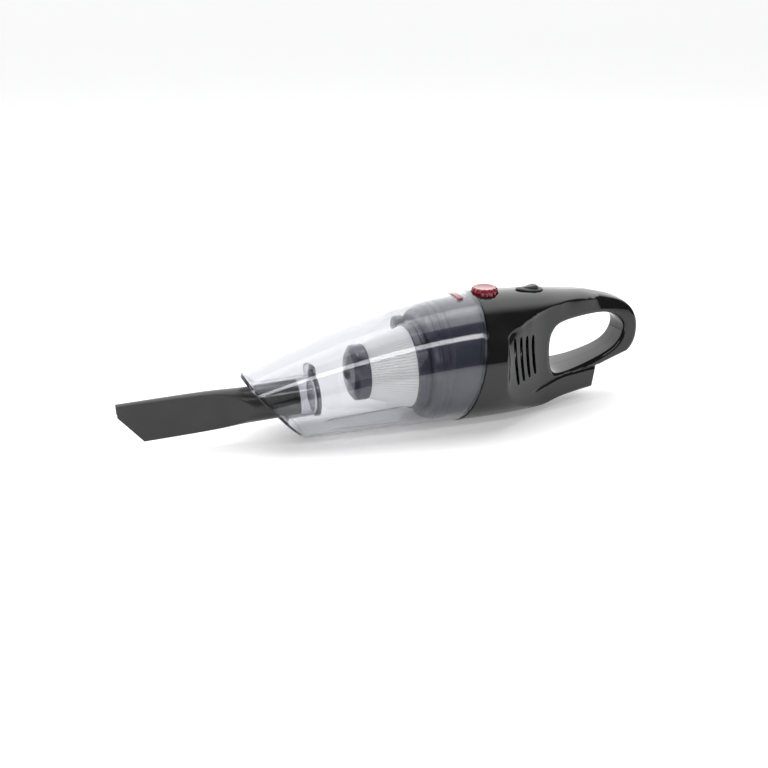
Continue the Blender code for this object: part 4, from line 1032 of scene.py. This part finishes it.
# ---- filter ------------------------------------------------------------------------------------------
@dataclass
class Filter:
    """The pleated cone, its front cap and the base ring that plugs into the holder."""

    shop: Workshop
    axis_z: float = 46.0
    pleats: int = 76
    pleat_depth: float = 1.5
    paper_front: float = -26.7
    paper_length: float = 34.4
    front_radius: float = 21.6
    flare: float = 11.2

    def crest(self, x: Grid) -> Grid:
        """Radius of the pleats' crests at x, a straight cone."""
        return self.front_radius + self.flare * (x - self.paper_front) / self.paper_length

    def cone(self) -> Piece:
        """The paper: the crests' cone less a triangle wave of the angle, with a plain cone inside."""
        columns = self.pleats * 6
        u = np.linspace(0, math.tau, columns, endpoint=False)[None, :]
        wave = np.abs((u * self.pleats / math.tau) % 1.0 * 2 - 1)
        x = np.linspace(self.paper_front, self.paper_front + self.paper_length, 26)[:, None]
        radius = self.crest(x)
        outer = radius - self.pleat_depth * (1.0 - wave)
        inner = (radius - 3.4 + 0 * u)[::-1]
        r = np.concatenate((outer, inner))
        along = np.concatenate((x + 0 * u, (x + 0 * u)[::-1]))
        grid = np.stack((along, r * np.sin(u), self.axis_z - r * np.cos(u)), -1)
        piece = self.shop.mesh("paper_pleats", grid, close_along=True, sharp=20.0)
        place = np.empty(len(piece.data.vertices) * 3, np.float32)
        piece.data.vertices.foreach_get("co", place)
        place = place.reshape(-1, 3) / MM
        x = place[:, 0] - self.shop.shift
        reach = np.hypot(place[:, 1], place[:, 2] - self.axis_z)
        fold = (reach - self.crest(x) + self.pleat_depth) / self.pleat_depth
        folds = piece.data.attributes.new("fold", "FLOAT", "POINT")
        folds.data.foreach_set("value", np.clip(fold, 0, 1).astype(np.float32))
        return piece

    def build(self) -> None:
        """Make and hang the filter's pieces."""
        self.shop.hang(self.cone(), Slot.PAPER, "filter", "filter_pleats")
        cap = [(-27.0, 14.0), (-27.0, 22.1), (-36.0, 22.1), (-39.2, 17.6), (-40.4, 9.0), (-41.2, 6.0),
               (-42.6, 3.6), (-43.4, 1.7), (-43.6, 0.05), (-38.6, 0.05), (-38.6, 17.6), (-34.0, 19.9),
               (-30.0, 19.9), (-30.0, 14.0)]

        def faceted(x: Grid, r: Grid, u: Grid) -> Grid:
            """Six shallow flutes in the cap's face, deepest half way out."""
            face = np.clip((-36.0 - x) / 2.5, 0, 1) * np.clip((r - 5.0) / 8.0, 0, 1)
            return r * (1 - 0.022 * face * (1 - np.cos(6 * u)))
        piece = self.shop.revolve("filter_front_cap", cap, self.axis_z, 1.0, 0.7, 144, faceted)
        self.shop.hang(piece, Slot.SLATE, "filter", "filter_cap")
        ring = [(8.0, 26.0), (8.0, 34.2), (13.0, 34.2), (13.0, 36.6), (16.6, 36.6), (16.6, 33.6),
                (27.0, 33.6), (27.0, 31.4), (16.0, 31.4), (12.0, 26.0)]
        piece = self.shop.revolve("filter_plug_ring", ring, self.axis_z, 1.2, 0.4, 144)
        self.shop.hang(piece, Slot.SLATE, "filter", "filter_base_ring")


# ---- filter holder and seal --------------------------------------------------------------------------
@dataclass
class Holder:
    """The slate bulkhead that plugs the cup: a ribbed skirt with a front wall round the filter's ring."""

    shop: Workshop
    body: RoundBody
    axis_z: float = 46.0
    bore: float = 33.9
    slack: float = 2.5
    floor: float = 2.4

    def build(self) -> None:
        """Make and hang the bulkhead, its catch and the seal.

        The bulkhead's rows run along the ribbed outside to the rear, back inside, and in across its wall.
        """
        body = self.body
        steps = polyline([(17.0, 3.0, 0.0), (17.6, 2.0, 0.0), (20.4, 1.2, 0.01), (20.9, 0.1, 0.01),
                          (22.3, 0.1, 0.015), (22.8, 1.0, 0.02), (24.2, 1.0, 0.025), (24.7, 0.1, 0.03),
                          (26.1, 0.1, 0.03), (26.6, 1.0, 0.035), (28.6, 1.0, 0.05), (29.2, 0.0, 0.05),
                          (43.0, 0.0, 0.19), (44.0, 1.3, 0.19), (46.2, 1.4, 0.2), (46.8, 2.8, 0.2),
                          (51.8, 2.8, 0.2)], 0.8, 0.5)
        drop = self.slack + steps[:, 1]
        outer = body.section(steps[:, 0], steps[:, 2], drop, np.full(len(steps), self.floor))
        back = np.linspace(1, 0, 18)
        inner = body.section(19.2 + 32.4 * back, 0.01 + 0.19 * back, np.full(18, self.slack + 3.7),
                             np.full(18, self.floor + 2.0))
        u = body.turn()
        bore = [np.stack((0 * u + x, self.bore * np.sin(u), self.axis_z - self.bore * np.cos(u)), -1)
                for x in (19.2, 18.1, 17.0)]
        share = np.linspace(0, 1, 7)[1:-1, None, None]
        rear_wall = inner[-1] + (bore[0] - inner[-1]) * share
        front_wall = bore[-1] + (outer[0] - bore[-1]) * share
        grid = np.concatenate((outer, inner, rear_wall, np.stack(bore), front_wall))
        piece = self.shop.mesh("bulkhead", grid, close_along=True, sharp=40.0)
        window = self.shop.bar("window", (51.0, 0, 97.0), (2.65, 9.2, 9.0), 8.0)
        self.shop.carve(piece, [window], sharp=40.0)
        self.shop.hang(piece, Slot.SLATE, "housing", "filter_holder")
        lug = self.shop.bar("filter_catch", (13.2, 33.5, 72.0), (4.6, 7.5, 6.5), 5.0)
        self.shop.hang(lug, Slot.SLATE, "housing")
        band = polyline([(39.7, 2.5), (41.3, 2.5), (41.3, 3.6), (39.7, 3.6), (39.7, 2.5)], 0.5, 0.3)[:-1]
        grid = body.section(band[:, 0], np.full(len(band), 0.194), band[:, 1], band[:, 1])
        seal = self.shop.mesh("seal_band", grid, close_along=True)
        self.shop.hang(seal, Slot.RUBBER, "housing", "cup_seal")


# ---- housing -----------------------------------------------------------------------------------------
@dataclass
class Housing:
    """The two gloss black halves: a barrel that flattens into side panels, a finger hole and a foot."""

    shop: Workshop
    wall: float = 2.2
    split: float = 0.1
    edge: float = 4.0
    seam_foot: float = 45.0
    seam_lean: float = 0.20
    hole_centre: tuple[float, float] = (160.0, 56.0)
    rays: Sequence[int] = (84, 22, 18, 18, 10, 40, 30, 110)
    crease: Sequence[Sequence[float]] = ((104, 21.0), (110, 22.0), (123, 25.0), (137, 28.4), (158, 29.7),
                                         (176, 31.0))
    screws: Sequence[Sequence[float]] = ((92.0, 77.5), (132.0, 82.0), (150.0, 21.0), (205.6, 56.5))

    def spine_top(self, x: Grid) -> Grid:
        """Height of the top line."""
        return curve(x, [40, 57, 70, 95, 125, 150, 166, 181, 196, 215],
                     [100.2, 101.0, 101.3, 100.6, 98.9, 96.2, 94.4, 91.2, 86.4, 77.0])

    def belly(self, x: Grid) -> Grid:
        """Height of the underside: flat on the floor, then rising to the foot's rear edge."""
        return curve(x, [40, 94, 106, 120, 135, 155, 172], [0, 0, 2.4, 6.0, 9.0, 10.9, 12.2])

    def half_width(self, x: Grid, z: Grid, inset: float) -> Grid:
        """Half the width at a point of the side view: the round barrel, softly trimmed by the side panels.

        The barrel is sqrt(r^2 - (z - centre)^2). The panel's width falls towards the crease. The two are
        joined by a smooth minimum. A narrow groove is taken off along the line where the handle's strut
        meets the foot, and the panel is let in behind a soft step along its front edge and its crease.

        Args:
            x: places along the body.
            z: heights.
            inset: how far inside the outer surface.

        Returns:
            The half width at each point.
        """
        radius = curve(x, [40, 70, 110, 160, 215], [51.2, 51.8, 50.4, 46.0, 44.0])
        centre = self.spine_top(x) - radius
        barrel = np.sqrt(np.maximum((radius - inset)**2 - (z - centre)**2, 0.0))
        crease = curve(x, [60, 73.5, 75, 77, 79, 84, 91, 97, 105, 117, 129, 143, 164, 178, 192, 220],
                       [40, 48, 64, 76, 79.3, 82, 83.5, 86, 88, 90.5, 92, 93, 91.5, 92, 95, 95])
        crease = np.minimum(crease, self.spine_top(x) - 1.2)
        at_crease = np.sqrt(np.maximum(radius**2 - (crease - centre)**2, 0.0))
        width = curve(x, [60, 75, 84, 104, 117, 129, 143, 164, 200, 220],
                      [62, 50.3, 44.0, 33.0, 27.2, 23.8, 20.6, 17.0, 13.2, 12.2])
        middle = curve(x, [60, 75, 117, 143, 164, 185, 220], [34, 50, 52, 65, 70, 67, 52])
        lift = np.maximum((z - middle) / np.maximum(crease - middle, 8.0), 0.0)
        fall = np.maximum(width - at_crease, 0.0) * lift**3
        panel = np.where(z > crease, barrel + 0.8 * (z - crease), width - inset - fall)
        soft = 1.2 + 3.0 * inset
        blended = 0.5 * (barrel + panel - np.sqrt((barrel - panel)**2 + soft**2))
        settle = np.clip((x - 72.0) / 7.0, 0.0, 1.0)
        settle = settle * settle * (3 - 2 * settle)
        result = np.maximum(barrel + (np.minimum(blended, barrel) - barrel) * settle, 0.0)
        if inset == 0.0:
            line = curve(x, [p[0] for p in self.crease], [p[1] for p in self.crease])
            ends = np.clip((x - 106) / 10, 0, 1) * np.clip((178 - x) / 4, 0, 1)
            result = result - 1.1 * ends * np.exp(-((z - line) / 1.1)**2) * np.clip(result / 8.0, 0, 1)
            below = 1 / (1 + np.exp(-np.clip((crease - 1.5 - z) / 0.7, -40, 40)))
            behind = 1 / (1 + np.exp(-np.clip((x - 76.5) / 0.5, -40, 40)))
            depth = curve(x, [76, 96, 120, 150], [1.3, 1.1, 0.5, 0.0])
            result = result - depth * below * behind * np.clip((z - 40.0) / 26.0, 0, 1)
        return result

    def hole_outline(self, margin: float) -> Grid:
        """The finger hole's outline: Catmull-Rom curves through its corners, moved outward by a margin."""
        corners = np.array([(124.9, 56.0), (128.0, 69.5), (140.0, 75.8), (178.0, 77.2), (196.0, 69.0),
                            (199.2, 58.0), (190.0, 45.0), (164.0, 35.2), (138.0, 31.4), (127.6, 37.0)])
        knots = np.vstack((corners[-1:], corners, corners[:2]))
        loop = catmull_rom(knots, np.linspace(0, 1, 24, endpoint=False))
        ahead = np.roll(loop, -1, axis=0) - np.roll(loop, 1, axis=0)
        normal = np.stack((-ahead[:, 1], ahead[:, 0]), -1)
        return loop + normal / np.linalg.norm(normal, axis=1)[:, None] * margin

    def outer_outline(self, inset: float) -> Grid:
        """The side view's outline, clockwise from the seam's top, moved inward by the inset."""
        crown_x = self.seam_foot + self.seam_lean * 101.0
        over = np.concatenate(([crown_x], np.arange(68, 181, 3.0)))
        top = np.stack((over, self.spine_top(over) - inset), -1)
        top[0, 0] -= self.seam_lean * inset
        bend = np.array([(189, 88.8), (198.6, 84.4), (207.2, 77.2), (212.0, 68.0), (213.2, 57.6),
                         (211.4, 47.6), (205.6, 39.6)])
        knots = np.vstack((top[-2:], bend, [(196.0, 36.6)]))
        round_rear = catmull_rom(knots, np.linspace(0, 1, 7)[1:])
        inward = np.array([188.0, 58.0]) - round_rear
        round_rear = round_rear + inward / np.linalg.norm(inward, axis=1)[:, None] * inset
        foot = np.array([(174.8 - inset, 30.0 + inset), (174.0 - inset, 27.6),
                         (171.2 - inset, 12.2 + inset)])
        under = np.arange(168, 58, -3.0)
        low = np.stack((under, self.belly(under) + inset), -1)
        return np.vstack((top, round_rear, foot, low, [(self.seam_foot, inset)]))

    def ray_hits(self, outline: Grid, angles: Grid) -> Grid:
        """Where rays from the hole's centre meet an outline, keeping each ray's furthest hit."""
        centre = np.array(self.hole_centre)
        start = (outline - centre)[None]
        side = (np.roll(outline, -1, axis=0) - outline)[None]
        ray = np.stack((np.cos(angles), np.sin(angles)), -1)[:, None]
        turn = ray[..., 0] * side[..., 1] - ray[..., 1] * side[..., 0]
        turn = np.where(np.abs(turn) < 1e-12, 1e-12, turn)
        share = -(ray[..., 0] * start[..., 1] - ray[..., 1] * start[..., 0]) / turn
        reach = ((start + side * share[..., None]) * ray).sum(-1)
        good = (share >= -1e-7) & (share <= 1 + 1e-7) & (reach > 0)
        reach = np.where(good, reach, -1.0).max(1)
        return centre + ray[:, 0] * reach[:, None]

    def angles(self) -> tuple[Grid, Grid]:
        """Ray angles evenly spaced between the outline's corners, and which rays lie on the seam's edge.

        Returns:
            The angles, with both seam corners given twice, and a flag that is true along the seam.
        """
        crown_x = self.seam_foot + self.seam_lean * 101.0
        corners = [(crown_x, float(self.spine_top(crown_x))), (189, 88.8), (213.2, 57.6), (205.6, 39.6),
                   (174.8, 30.0), (171.2, 12.2), (94, 0.0), (self.seam_foot, 0.0)]
        hole_x, hole_z = self.hole_centre
        turn = np.array([math.atan2(z - hole_z, x - hole_x) for x, z in corners])
        turn = np.unwrap(np.append(turn, turn[0]))
        turn = np.where(np.arange(len(turn)) == len(turn) - 1, turn[0] - math.tau, turn)
        parts = [np.linspace(turn[i], turn[i + 1], count, endpoint=False)
                 for i, count in enumerate(self.rays)]
        angles = np.concatenate(parts)
        first = len(angles) - len(parts[-1])
        seam = np.arange(len(angles)) >= first
        angles = np.concatenate((angles[:first], [angles[first]], angles[first:], [angles[0]]))
        seam = np.concatenate((seam[:first], [False], seam[first:], [True]))
        return angles, seam

    @staticmethod
    def edge_drop(distance: Grid, rounding: Grid) -> Grid:
        """How far a rounded edge falls away at a distance from the outline: a quarter circle."""
        safe = np.maximum(rounding, 0.01)
        share = np.clip(1.0 - distance / safe, 0.0, 1.0)
        return safe * (1.0 - np.sqrt(np.maximum(1.0 - share**2, 0.0)))

    def skin(self, inset: float, rows: int) -> Grid:
        """Rows of points from the finger hole to the outline, with a wall down to the split at both ends.

        Along each ray the places are closer together near both ends, by a cosine, and the width there is
        the half width less the two rounded edges. On the seam's rays the outer wall stays folded up against
        the skin.

        Args:
            inset: how far inside the outer surface.
            rows: how many rows lie on the skin.

        Returns:
            The grid, rows from the hole outward.
        """
        angles, seam = self.angles()
        hole = self.ray_hits(self.hole_outline(inset), angles)
        outer = self.ray_hits(self.outer_outline(inset), angles)
        length = np.linalg.norm(outer - hole, axis=1)[None]
        ease = np.linspace(0, 1, rows)[:, None]
        ease = 0.55 * ease + 0.45 * (0.5 - 0.5 * np.cos(math.pi * ease))
        near = np.array([0.0, 0.15, 0.5, 1.1, 2.0, 3.1])[:, None]
        scale = np.minimum(1.0, length / 12.0)
        travel = np.vstack((near * scale, 3.9 * scale + (length - 7.8 * scale) * ease[1:-1],
                            length - near[::-1] * scale))
        direction = (outer - hole) / length[0][:, None]
        point = hole[None] + direction[None] * travel[..., None]
        width = self.half_width(point[..., 0], point[..., 1], inset)
        if inset == 0.0:
            x, z = outer[:, 0], outer[:, 1]
            upper = curve(x, [150, 185, 220], [0, self.edge, self.edge])
            lower = curve(x, [100, 135, 220], [0, 3.0, self.edge])
            square = seam | (np.abs(x - self.seam_foot - self.seam_lean * z) < 0.5)
            rounding = np.where(square, 0.0, np.where(z > self.hole_centre[1], upper, lower))[None]
            width = width - self.edge_drop(travel, np.minimum(self.edge * 0.9, width))
            width = width - self.edge_drop(length - travel, np.minimum(rounding, width))
        width = np.maximum(width, 0.0)
        grid = np.stack((point[..., 0], width, point[..., 1]), -1)
        first = grid[:1] * [1, 0, 1]
        last = np.where(seam[None, :, None], grid[-1:], grid[-1:] * [1, 0, 1])
        return np.concatenate((first, grid, last))

    def vents(self, side: Side) -> list[Piece]:
        """Four curved slots: a slot outline swept across, its middle line leaning back as it goes down."""
        cutters = []
        u = np.linspace(0, math.tau, 64, endpoint=False)
        for i in range(4):
            high, low = 74.6 - 0.9 * i, 34.6 + 1.05 * i
            tall = (high - low) / 2
            z = (high + low) / 2 + tall * np.sign(np.cos(u)) * np.abs(np.cos(u))**0.35
            middle = 84.0 + 6.9 * i + (5.6 - 0.4 * i) * np.clip((high - z) / (high - low), 0, 1)**1.8
            x = middle + 1.65 * np.sign(np.sin(u)) * np.abs(np.sin(u))**0.6
            y = np.array([18.0, 60.0])[:, None] * side.value
            grid = np.stack(np.broadcast_arrays(x[None], y, z[None]), -1)
            cutters.append(self.shop.mesh("vent", grid))
        return cutters

    def post(self, x: float, z: float, radius: float, low: float, high: float, upright: bool) -> Piece:
        """A round cutter from low to high, upright about (x, 0) or across the body about (x, z)."""
        u = np.linspace(0, math.tau, 48, endpoint=False)
        run = np.array([low, high])[:, None]
        if upright:
            grid = np.stack(np.broadcast_arrays(x + radius * np.cos(u), radius * np.sin(u), run), -1)
        else:
            grid = np.stack(np.broadcast_arrays(x + radius * np.cos(u), run, z + radius * np.sin(u)), -1)
        return self.shop.mesh("post", grid)

    def half(self, side: Side) -> Piece:
        """One half: the outer skin and the lining as one ring-shaped surface, with its openings carved.

        Args:
            side: which half.

        Returns:
            The piece.
        """
        outer = self.skin(0.0, 96)
        lining = self.skin(self.wall, 22)[::-1]
        grid = np.concatenate((outer, lining))
        grid = grid * [1, side.value, 1] + [0, side.value * self.split, 0]
        piece = self.shop.mesh(f"shell_{side.name.lower()}", grid, close_along=True, sharp=32.0)
        cutters = self.vents(side)
        cutters.append(self.post(75.5, 0, 11.2, 80, 120, True))
        cutters.append(self.shop.bar("switch_way", (115.0, 0, 97), (9.2, 3.7, 12), 8.0))
        way = [(157, 0.05), (157, 4.3), (190, 4.3), (190, 0.05)]
        cutters.append(self.shop.revolve("socket_way", way, 18.0, 8.0, 0.0, 40))
        if side is Side.RIGHT:
            for x, z in self.screws:
                reach = float(self.half_width(np.array(x), np.array(z), 0.0))
                cutters.append(self.post(x, z, 3.4, reach - 1.9, reach + 20, False))
        return self.shop.carve(piece, cutters, sharp=32.0)

    def build(self) -> None:
        """Make and hang both halves and dress the screws."""
        for side in Side:
            node = f"housing_{side.name.lower()}"
            self.shop.hang(self.half(side), Slot.GLOSS_BLACK, "housing", node)
        self.shop.dress(Slot.STEEL, *(f"housing_screw_{i}" for i in range(1, 5)))


# ---- controls ----------------------------------------------------------------------------------------
@dataclass
class Controls:
    """The scalloped release button, the latch it works, and the thumb switch in its leaf-shaped bezel."""

    shop: Workshop
    housing: Housing
    button_x: float = 75.5
    button_radius: float = 10.7
    lobes: int = 14
    latch_x: float = 51.0
    switch_x: float = 115.0
    press: float = 2.5
    wedge_front: float = 108.4
    wedge_length: float = 14.0
    latch_floor: float = 91.0
    latch_top: float = 101.5
    slope: float = math.tan(math.radians(4.3))
    barrel: float = 50.3

    def button(self) -> Piece:
        """The button: its radius less a scallop of the angle, rounded at the top and slightly dished."""
        u = np.linspace(0, math.tau, 224, endpoint=False)[None, :]
        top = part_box("release_button")[1].z / MM
        side = polyline([(top - 13.0, 1.0), (top - 2.6, 0.995), (top - 1.0, 0.965), (top - 0.25, 0.90),
                         (top, 0.82), (top - 0.35, 0.68), (top - 0.5, 0.3), (top - 0.55, 0.02)], 0.5, 0.0)
        z, share = side[:, :1], side[:, 1:]
        ripple = 0.42 * (1 - np.cos(u * self.lobes)) * np.clip((share - 0.6) / 0.3, 0, 1)
        r = self.button_radius * share - ripple
        grid = np.stack((self.button_x + r * np.cos(u), r * np.sin(u), z + 0 * u), -1)
        return self.shop.mesh("scalloped_button", grid, sharp=50.0)

    def crown(self, x: Grid) -> Grid:
        """Height of the housing's top along the switch, as a straight slope."""
        return self.housing.spine_top(np.array(self.switch_x)) - self.slope * (x - self.switch_x)

    def leaf(self) -> Piece:
        """The bezel: a leaf outline pointed in front, domed up from the crown of the housing."""
        share = (0.5 - 0.5 * np.cos(np.linspace(0, math.pi, 48)))[:, None]
        along = 2 * share - 1
        wide = 8.6 * np.sqrt(np.maximum(1 - along**2, 0)) * (0.62 + 0.38 * share) + 0.05
        t = np.linspace(0, math.tau, 64, endpoint=False)[None, :]
        y = np.sin(t)
        x = self.switch_x + 12.0 * along + 0 * y
        crown = self.crown(x) - (y * wide)**2 / (2 * self.barrel)
        rise = 1.35 * np.abs(np.cos(t))**0.6 * np.minimum(1, wide / 4.0)
        dome = np.where(np.cos(t) < 0, 0.3, 0.3 + rise)
        return self.shop.mesh("switch_leaf", np.stack((x, y * wide, crown + dome), -1), sharp=45.0)

    def wedge(self) -> Piece:
        """The thumb wedge: a rounded bar whose height rises to the rear, with grip ridges across it."""
        share = np.linspace(0, 1, 90)[:, None]
        x = self.wedge_front + self.wedge_length * share
        tall = curve(share, [0, 0.1, 0.5, 0.8, 0.93, 1.0], [0.4, 1.0, 2.3, 3.1, 2.7, 0.4])
        ridged = np.clip((share - 0.2) * 6, 0, 1) * np.clip((0.8 - share) * 8, 0, 1)
        tall = tall + 0.16 * np.sin(share * math.tau * 6) * ridged
        wide = 3.6 * curve(share, [0, 0.3, 0.6, 0.9, 1.0], [0.1, 0.6, 0.95, 1.0, 0.7])
        u = np.linspace(0, math.tau, 40, endpoint=False)[None, :]
        y = np.sign(np.sin(u)) * np.abs(np.sin(u))**0.45 * wide
        lift = np.sign(-np.cos(u)) * np.abs(np.cos(u))**0.45
        z = self.crown(x) + 0.9 + tall * (lift + 1) / 2
        return self.shop.mesh("thumb_wedge", np.stack((x + 0 * u, y, z), -1), sharp=45.0)

    def build(self) -> None:
        """Make and hang the controls, dress the spring and give it a mesh of its own."""
        self.shop.hang(self.button(), Slot.RED, "button", "release_button")
        bar = self.shop.bar("latch_tongue", (self.latch_x + 14.7, 0, 91.35), (16.6, 5.4, 0.74), 8.0)
        middle = (self.latch_x, 0, (self.latch_floor + self.latch_top) / 2)
        nose = self.shop.bar("nose", middle, (2.5, 9.0, (self.latch_top - self.latch_floor) / 2), 8.0, 0.85)
        self.shop.carve(bar, [nose], "UNION")
        self.shop.hang(bar, Slot.RED, "button", "latch_bar")
        self.shop.hang(self.leaf(), Slot.SATIN_BLACK, "housing", "switch_bezel")
        self.shop.hang(self.wedge(), Slot.GREY_SWITCH, "switch", "switch_slider")
        self.shop.dress(Slot.STEEL, "release_spring")
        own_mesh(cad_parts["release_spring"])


# ---- works inside ------------------------------------------------------------------------------------
@dataclass
class Works:
    """The inner parts, whose CAD shapes stay: fan, motor, battery and electrics."""

    shop: Workshop
    finishes: dict[Slot, tuple[str, ...]] = field(default_factory=lambda: {
        Slot.STEEL: ("flap_hinge_pin", "motor_can", "motor_shaft"),
        Slot.WHITE: ("filter_cage", "fan_shroud", "motor_plate"),
        Slot.FAN_GREY: ("impeller", "armature"),
        Slot.SATIN_BLACK: ("battery_tray", "charge_socket", "motor_end_cap", "motor_mount", "switch_body"),
        Slot.CELL_WRAP: ("battery_cell_1", "battery_cell_2"),
        Slot.BOARD: ("circuit_board",),
        Slot.MAGNET: ("motor_magnet_1", "motor_magnet_2")})

    def build(self) -> None:
        """Dress each CAD node."""
        for slot, nodes in self.finishes.items():
            self.shop.dress(slot, *nodes)


# ---- studio ------------------------------------------------------------------------------------------
@dataclass
class Studio:
    """A pale floor, a soft dome, one overhead softbox, one long strip light and the camera."""

    shop: Workshop
    target: tuple[float, float, float] = (-9.7, 0.0, 33.0)
    distance: float = 0.854
    azimuth: float = math.radians(-19.2)
    elevation: float = math.radians(22.0)
    lens: float = 50.0

    def floor(self) -> None:
        """A wide pale sheet just under the object, faintly mottled, that also glows a little."""
        mesh = bpy.data.meshes.new("studio_floor")
        size = 30.0
        corners = [(-size, -size, 0), (size, -size, 0), (size, size, 0), (-size, size, 0)]
        mesh.from_pydata(corners, [], [(0, 1, 2, 3)])
        sheet = bpy.data.objects.new("studio_floor", mesh)
        sheet.location.z = -0.0002
        bpy.context.scene.collection.objects.link(sheet)
        material, tree, shader = shader_tree("pale_floor", Roughness=0.7, Emission_Strength=0.27)
        shader.inputs["Emission Color"].default_value = (1, 1, 1, 1)
        shader.inputs["Specular IOR Level"].default_value = 0.2
        mottle = spread(tree, noise(tree, 6.0, 2.0), 0.2, 0.8)
        pale = mix_colour(tree, mottle, (0.80, 0.80, 0.80), (0.82, 0.82, 0.82))
        tree.links.new(pale, shader.inputs["Base Color"])
        mesh.materials.append(material)

    def area(self, name: str, place: Sequence[float], size: Sequence[float], radiance: float,
             mirrored: bool) -> None:
        """A rectangular light that faces the object.

        Args:
            name: the light's name.
            place: where it hangs, in metres.
            size: its two sides, in metres.
            radiance: how bright its face is.
            mirrored: whether it shows in glossy surfaces.
        """
        lamp = bpy.data.lights.new(name, "AREA")
        lamp.shape = "RECTANGLE"
        lamp.size, lamp.size_y = size
        lamp.energy = radiance * math.pi * size[0] * size[1]
        thing = bpy.data.objects.new(name, lamp)
        forward = (Vector((0, 0, 0.05)) - Vector(place)).normalized()
        across = Vector((1, 0, 0))
        up = across.cross(forward).normalized()
        across = forward.cross(up).normalized()
        thing.visible_glossy = mirrored
        turn = Matrix((across, up, -forward)).transposed().to_4x4()
        thing.matrix_world = Matrix.Translation(place) @ turn
        bpy.context.scene.collection.objects.link(thing)

    def dome(self) -> None:
        """The surroundings: bright behind and above, dim on the near side, with one soft ramp between."""
        world = bpy.data.worlds.new("studio_dome")
        bpy.context.scene.world = world
        world.use_nodes = True
        tree = world.node_tree
        background = tree.nodes["Background"]
        place = tree.nodes.new("ShaderNodeTexCoord")
        parts = tree.nodes.new("ShaderNodeSeparateXYZ")
        tree.links.new(place.outputs["Generated"], parts.inputs[0])
        raised = math_node(tree, "MULTIPLY", parts.outputs["Z"], 0.5)
        slant = math_node(tree, "ADD", parts.outputs["Y"], raised)
        far = spread(tree, slant, 0.42, 0.74)
        sky = mix_colour(tree, far, (0.06, 0.06, 0.066), (1.85, 1.85, 1.86))
        tree.links.new(sky, background.inputs["Color"])

    def camera(self) -> None:
        """The camera on its circle round the target, level."""
        lens = bpy.data.cameras.new("camera")
        lens.lens = self.lens
        lens.sensor_width = 36.0
        thing = bpy.data.objects.new("camera", lens)
        x, y, z = self.target
        target = Vector(((x + self.shop.shift) * MM, y * MM, z * MM))
        level = math.cos(self.elevation)
        away = Vector((math.sin(self.azimuth) * level, -math.cos(self.azimuth) * level,
                       math.sin(self.elevation)))
        thing.location = target + away * self.distance
        thing.rotation_euler = (-away).to_track_quat("-Z", "Y").to_euler()
        bpy.context.scene.collection.objects.link(thing)
        bpy.context.scene.camera = thing

    def build(self) -> None:
        """Set up the whole studio."""
        bpy.context.scene.view_settings.view_transform = "Standard"
        self.floor()
        self.dome()
        self.area("overhead_softbox", (0.0, 0.12, 1.4), (1.5, 0.9), 3.0, False)
        self.area("near_fill", (-0.35, -1.25, 0.75), (1.0, 0.7), 1.6, False)
        self.area("strip_light", (-0.12, -0.80, 1.03), (1.17, 0.19), 6.5, True)
        self.camera()


def main() -> None:
    """Build the studio and every sub-assembly in order."""
    logging.basicConfig(level=logging.INFO, format="%(name)s %(message)s")
    shop = Workshop()
    body = RoundBody()
    tube = Tube()
    housing = Housing(shop)
    for assembly in (Studio(shop), DustCup(shop, body, tube), Flap(shop, tube), Nozzle(shop, tube),
                     Filter(shop), Holder(shop, body), housing, Controls(shop, housing), Works(shop)):
        LOG.info("building %s", type(assembly).__name__)
        assembly.build()


if __name__ == "__main__":
    main()
